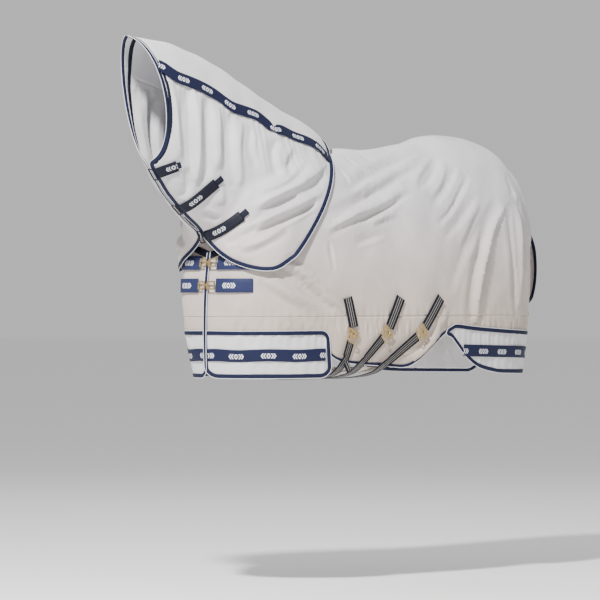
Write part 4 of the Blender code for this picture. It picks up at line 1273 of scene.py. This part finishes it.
def ladder(name, outer, windows, thick, matrix, body):
    """A flat frame with rectangular windows, from a grid of cells with the windows' cells left out."""
    xs = sorted({outer[0], outer[2], *(w[0] for w in windows), *(w[2] for w in windows)})
    ys = sorted({outer[1], outer[3], *(w[1] for w in windows), *(w[3] for w in windows)})
    bm = bmesh.new()
    bmesh.ops.create_grid(bm, x_segments=len(xs) - 1, y_segments=len(ys) - 1, size=0.5)
    for vert in bm.verts:
        i = round((vert.co.x + 0.5) * (len(xs) - 1))
        j = round((vert.co.y + 0.5) * (len(ys) - 1))
        vert.co = (xs[i], ys[j], 0)
    holes = [
        f for f in bm.faces
        for c in [f.calc_center_median()]
        if any(w[0] < c.x < w[2] and w[1] < c.y < w[3] for w in windows)
    ]
    bmesh.ops.delete(bm, geom=holes, context="FACES")
    grown = bmesh.ops.extrude_face_region(bm, geom=list(bm.faces))["geom"]
    tops = [g for g in grown if isinstance(g, bmesh.types.BMVert)]
    bmesh.ops.translate(bm, vec=(0, 0, thick), verts=tops)
    bmesh.ops.dissolve_limit(bm, angle_limit=0.01, verts=bm.verts, edges=bm.edges)
    return metal_piece(name, bm, matrix, body, bevel=0.0006)


print("cast pieces can be made")

# %% [markdown]
# Three surcingles cross under the belly. On the near side each has a sewn upper strap with a slotted plate.
# The hook in that plate holds one long strap, which slants forwards down the side, crosses under the belly
# and is sewn high on the off side. It is a single band through a few places, so that its stripes run on
# without a break.

# %% Surcingles
STRAP, STRAP_THICK, HOOK_LIFT, HOOK_THICK = 0.045, 0.0022, 0.0075, 0.0024
SURCINGLES = (  # name, then distances of the strap's top, the plate and the crossing of the hem
    ("front", -0.195, -0.168, -0.215), ("middle", 0.075, 0.012, -0.135), ("rear", 0.285, 0.195, -0.02),
)
for name, top_x, plate_x, hem_x in SURCINGLES:
    top_z, plate_z = HEM_Z + 0.285, HEM_Z + 0.165
    bend_z = HEM_Z + float(np.interp(hem_x, *np.array(SIDE_HEM).T)) - 0.008
    frame_here = side_frame(plate_x, plate_z, (hem_x, bend_z), HOOK_LIFT)
    # sewn upper strap, ending in a loop round the plate's bar
    line = strap_line((top_x, top_z), (plate_x, plate_z + 0.008), 0.0052)
    section = flat_section(STRAP, STRAP_THICK)
    upper = carry(f"surcingle_{name}_upper", *line, section, webbing, "body_sheet", "striped_webbing")
    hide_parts(f"surcingle_{name}_upper_strap")
    # the hook's frame, lug and crossbar stand for the CAD hook
    body = f"surcingle_{name}_hook"
    above = 0.0031
    raised = frame_here @ Matrix.Translation((0, 0, above))
    outer, window = (0.004, -0.012, 0.040, 0.012), (0.013, -0.006, 0.026, 0.006)
    tongue = ladder(f"surcingle_{name}_hook_frame", outer, [window], HOOK_THICK, raised, body)
    bm = bmesh.new()
    block(bm, (0.008, -0.012, -0.0022), (0.012, 0.012, above + 0.001))
    metal_piece(f"surcingle_{name}_hook_lug", bm, frame_here, body)
    outer, window = (0.038, -0.027, 0.053, 0.027), (0.0415, -0.0235, 0.0495, 0.0235)
    ladder(f"surcingle_{name}_hook_bar", outer, [window], HOOK_THICK, raised, body)
    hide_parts(f"surcingle_{name}_hook")
    # one strap from the hook's bar down the side, under the belly and up the off side
    start = frame_here @ Vector((0.047, 0, 0))
    end_x = hem_x - 0.03
    off_hem = HEM_Z + float(np.interp(end_x, *np.array(SIDE_HEM).T))
    near_u, near_v = spots(np.linspace(start.x, hem_x, 6), np.linspace(start.z, bend_z, 6))
    knots = list(on_form(rug_form, near_u, near_v, NEAR, 0.0085))
    near = knots[-1]
    for share in (0.14, 0.3, 0.5, 0.7, 0.88):
        knots.append(belly_line(hem_x + (end_x - hem_x) * share, share, -0.008)[0])
    for z in (off_hem - 0.012, off_hem + 0.03, HEM_Z + 0.13, HEM_Z + 0.255):
        knots.append(on_form(rug_form, *spots(end_x, z), OFF, 0.0062)[0])
    path = smooth_line(np.array(knots), np.linspace(0, len(knots) - 1, 170))
    along = unit(np.gradient(path, axis=0))
    centre = np.stack([path[:, 0], np.zeros(170), np.full(170, HEM_Z + 0.22)], axis=1)
    up = path - centre
    up = unit(up - along * (up * along).sum(axis=1, keepdims=True))
    across = unit(np.cross(up, along))
    section = flat_section(STRAP, STRAP_THICK, -0.001)
    under = carry(
        f"surcingle_{name}_lower", path, across, up, section, webbing, "body_sheet", "striped_webbing"
    )
    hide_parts(f"surcingle_{name}_hook_strap", f"surcingle_{name}_under_strap")
    # free end of the adjusted strap
    if name == "front":
        tip = near + np.array([0.0, -0.004, -0.004])
        drop = np.linspace(0, 1, 14)[:, None]
        path = tip + drop * np.array([0.018, 0.0, -0.032])
        across = np.tile(unit(np.array([[0.87, 0, 0.49]])), (14, 1))
        up = np.tile([0.0, -1.0, 0.0], (14, 1))
        section = flat_section(0.028, 0.002)
        carry(
            f"surcingle_{name}_free_end", path, across, up, section, webbing, "body_sheet", "striped_webbing"
        )
print("surcingles made")

# %% [markdown]
# The chest closes with two clips. Each has a navy patch on either side with a motif, a ring on the off side
# and a flat hook on the near side. The rings and hooks are the CAD model's own, so only the patches are
# made here. A patch is a wide, short tape laid level round the chest, and starts nearer the middle on the
# off side, under its ring.

# %% Chest patches
PATCH = 0.052
PATCH_RISES = (("lower", 0.303), ("upper", 0.386))
PATCH_STARTS, PATCH_END = {NEAR: 0.36, OFF: 0.29}, 1.42
for side, word in side_words.items():
    for height, rise in PATCH_RISES:
        u = np.linspace(PATCH_STARTS[side], PATCH_END, 50)
        v = level(u, HEM_Z + rise + PATCH / 2)
        line = line_on(rug_form, u, v, side, CLOTH + 0.0026, side)
        section = flat_section(PATCH, 0.0016)
        patch = carry(f"{word}_chest_patch_{height}", *line, section, patch_motif, "body_sheet")
        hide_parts(f"{cad_words[side]}_chest_patch_{height}")
print("patches made")

# %% [markdown]
# Three hook-and-loop tabs close the throat. Each comes round from the off side, passes through its keeper
# and is pressed back on the near side. A narrower pull tab shows at its end. Both are bands on the cover's
# own surface, so they bend with it, and both ride the tab's body, which peels back from the keeper.

# %% Throat tabs
TAB_PARTS = (("tab", 0.0, 1.0, TAB_WIDTH, 0.0032, tab_motif), ("pull", 0.97, 1.15, 0.024, 0.0022, hook_loop))
for number, (u, start, span, lean) in enumerate(TAB_PLACES, 1):
    body = f"throat_tab_{number}"
    for part, first, last, width, thick, finish in TAB_PARTS:
        along = np.linspace(first, last, 30)
        line = neck_line(u + lean * along**1.7, start - span * along, NEAR, 0.0050)
        section = flat_section(width, thick)
        tab = carry(f"throat_{part}_{number}", *line, section, finish, body, "closure_tape")
        if part == "tab":
            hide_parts(body)
print("throat tabs made")

# %% [markdown]
# A loop of webbing on each rear edge holds a leg-strap ring. It goes round the top of the ring with its
# ends sewn flat to the edge, so it is one band: most of a turn round the ring's bar, then straight up the
# cloth.

# %% Leg-strap loops
for side, word in side_words.items():
    low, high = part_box(f"leg_ring_{cad_words[side]}")
    x, y, z = (low[0] + high[0]) / 2, (low[1] + high[1]) / 2, high[2]
    turn = np.linspace(-0.3 * np.pi, 1.35 * np.pi, 26)
    path = np.stack([x + 0.0055 * np.cos(turn), np.full(26, y), z - 0.003 + 0.0065 * np.sin(turn)], axis=1)
    path = np.vstack([path[::-1], [[x - 0.008, y, z + 0.012]], [[x - 0.009, y, z + 0.035]]])
    across = np.tile([0.0, 1.0, 0.0], (len(path), 1))
    up = unit(np.cross(unit(np.gradient(path, axis=0)), across))
    carry(f"{word}_leg_ring_loop", path, across, up, flat_section(0.026, 0.0014), grey_webbing, "body_sheet")
print("leg-strap loops made")

# %% [markdown]
# The stage is a plain pale floor under an even white sky, with one key light high on the near side that
# rakes over the folds, and a weaker light behind. The floor belongs to the stage and isn't part of the
# object.

# %% Floor and lights
FLOOR_Z = -1.65
bm = bmesh.new()
bmesh.ops.create_grid(bm, x_segments=1, y_segments=1, size=150)
bmesh.ops.translate(bm, vec=(0, 0, FLOOR_Z), verts=bm.verts)
floor_mesh = bpy.data.meshes.new("floor")
bm.to_mesh(floor_mesh)
bm.free()
floor = bpy.data.objects.new("floor", floor_mesh)
bpy.context.scene.collection.objects.link(floor)
floor_mat, _ = new_material("pale floor", (0.95, 0.95, 0.95), 0.9)
floor_mesh.materials.append(floor_mat)

world = bpy.data.worlds.new("studio")
bpy.context.scene.world = world
world.use_nodes = True
world.node_tree.nodes["Background"].inputs["Color"].default_value = (1.0, 1.0, 1.0, 1)
world.node_tree.nodes["Background"].inputs["Strength"].default_value = 0.60


def soft_light(name, place, aim, size, power, colour=(1, 1, 1)):
    """A round area lamp that faces a point."""
    lamp = bpy.data.lights.new(name, "AREA")
    lamp.shape = "DISK"
    lamp.size, lamp.energy, lamp.color = size, power, colour
    obj = bpy.data.objects.new(name, lamp)
    bpy.context.scene.collection.objects.link(obj)
    obj.location = place
    obj.rotation_euler = (Vector(aim) - Vector(place)).to_track_quat("-Z", "Y").to_euler()


soft_light("key", (-4.0, -2.0, 3.7), (0.0, 0.0, -0.3), 0.5, 800, (1.0, 0.99, 0.98))
soft_light("rim", (3.5, 4.0, 4.0), (0.3, 0.0, -0.2), 2.0, 90)
print("stage made")

# %% [markdown]
# The camera stands low, in front and to the near side, far back with a long lens, so that the sides stay
# nearly parallel.

# %% Camera
right, back = Vector((0.70711, -0.70711, 0)), Vector((-0.70711, -0.70711, 0))
target = right * -0.107 + Vector((0, 0, -0.579))
lens = bpy.data.cameras.new("camera")
lens.lens, lens.sensor_width = 220, 36
camera = bpy.data.objects.new("camera", lens)
bpy.context.scene.collection.objects.link(camera)
camera.location = target + back * 14
camera.rotation_euler = (target - camera.location).to_track_quat("-Z", "Y").to_euler()
lens.clip_end = 100
bpy.context.scene.camera = camera
print("camera", tuple(round(c, 2) for c in camera.location))
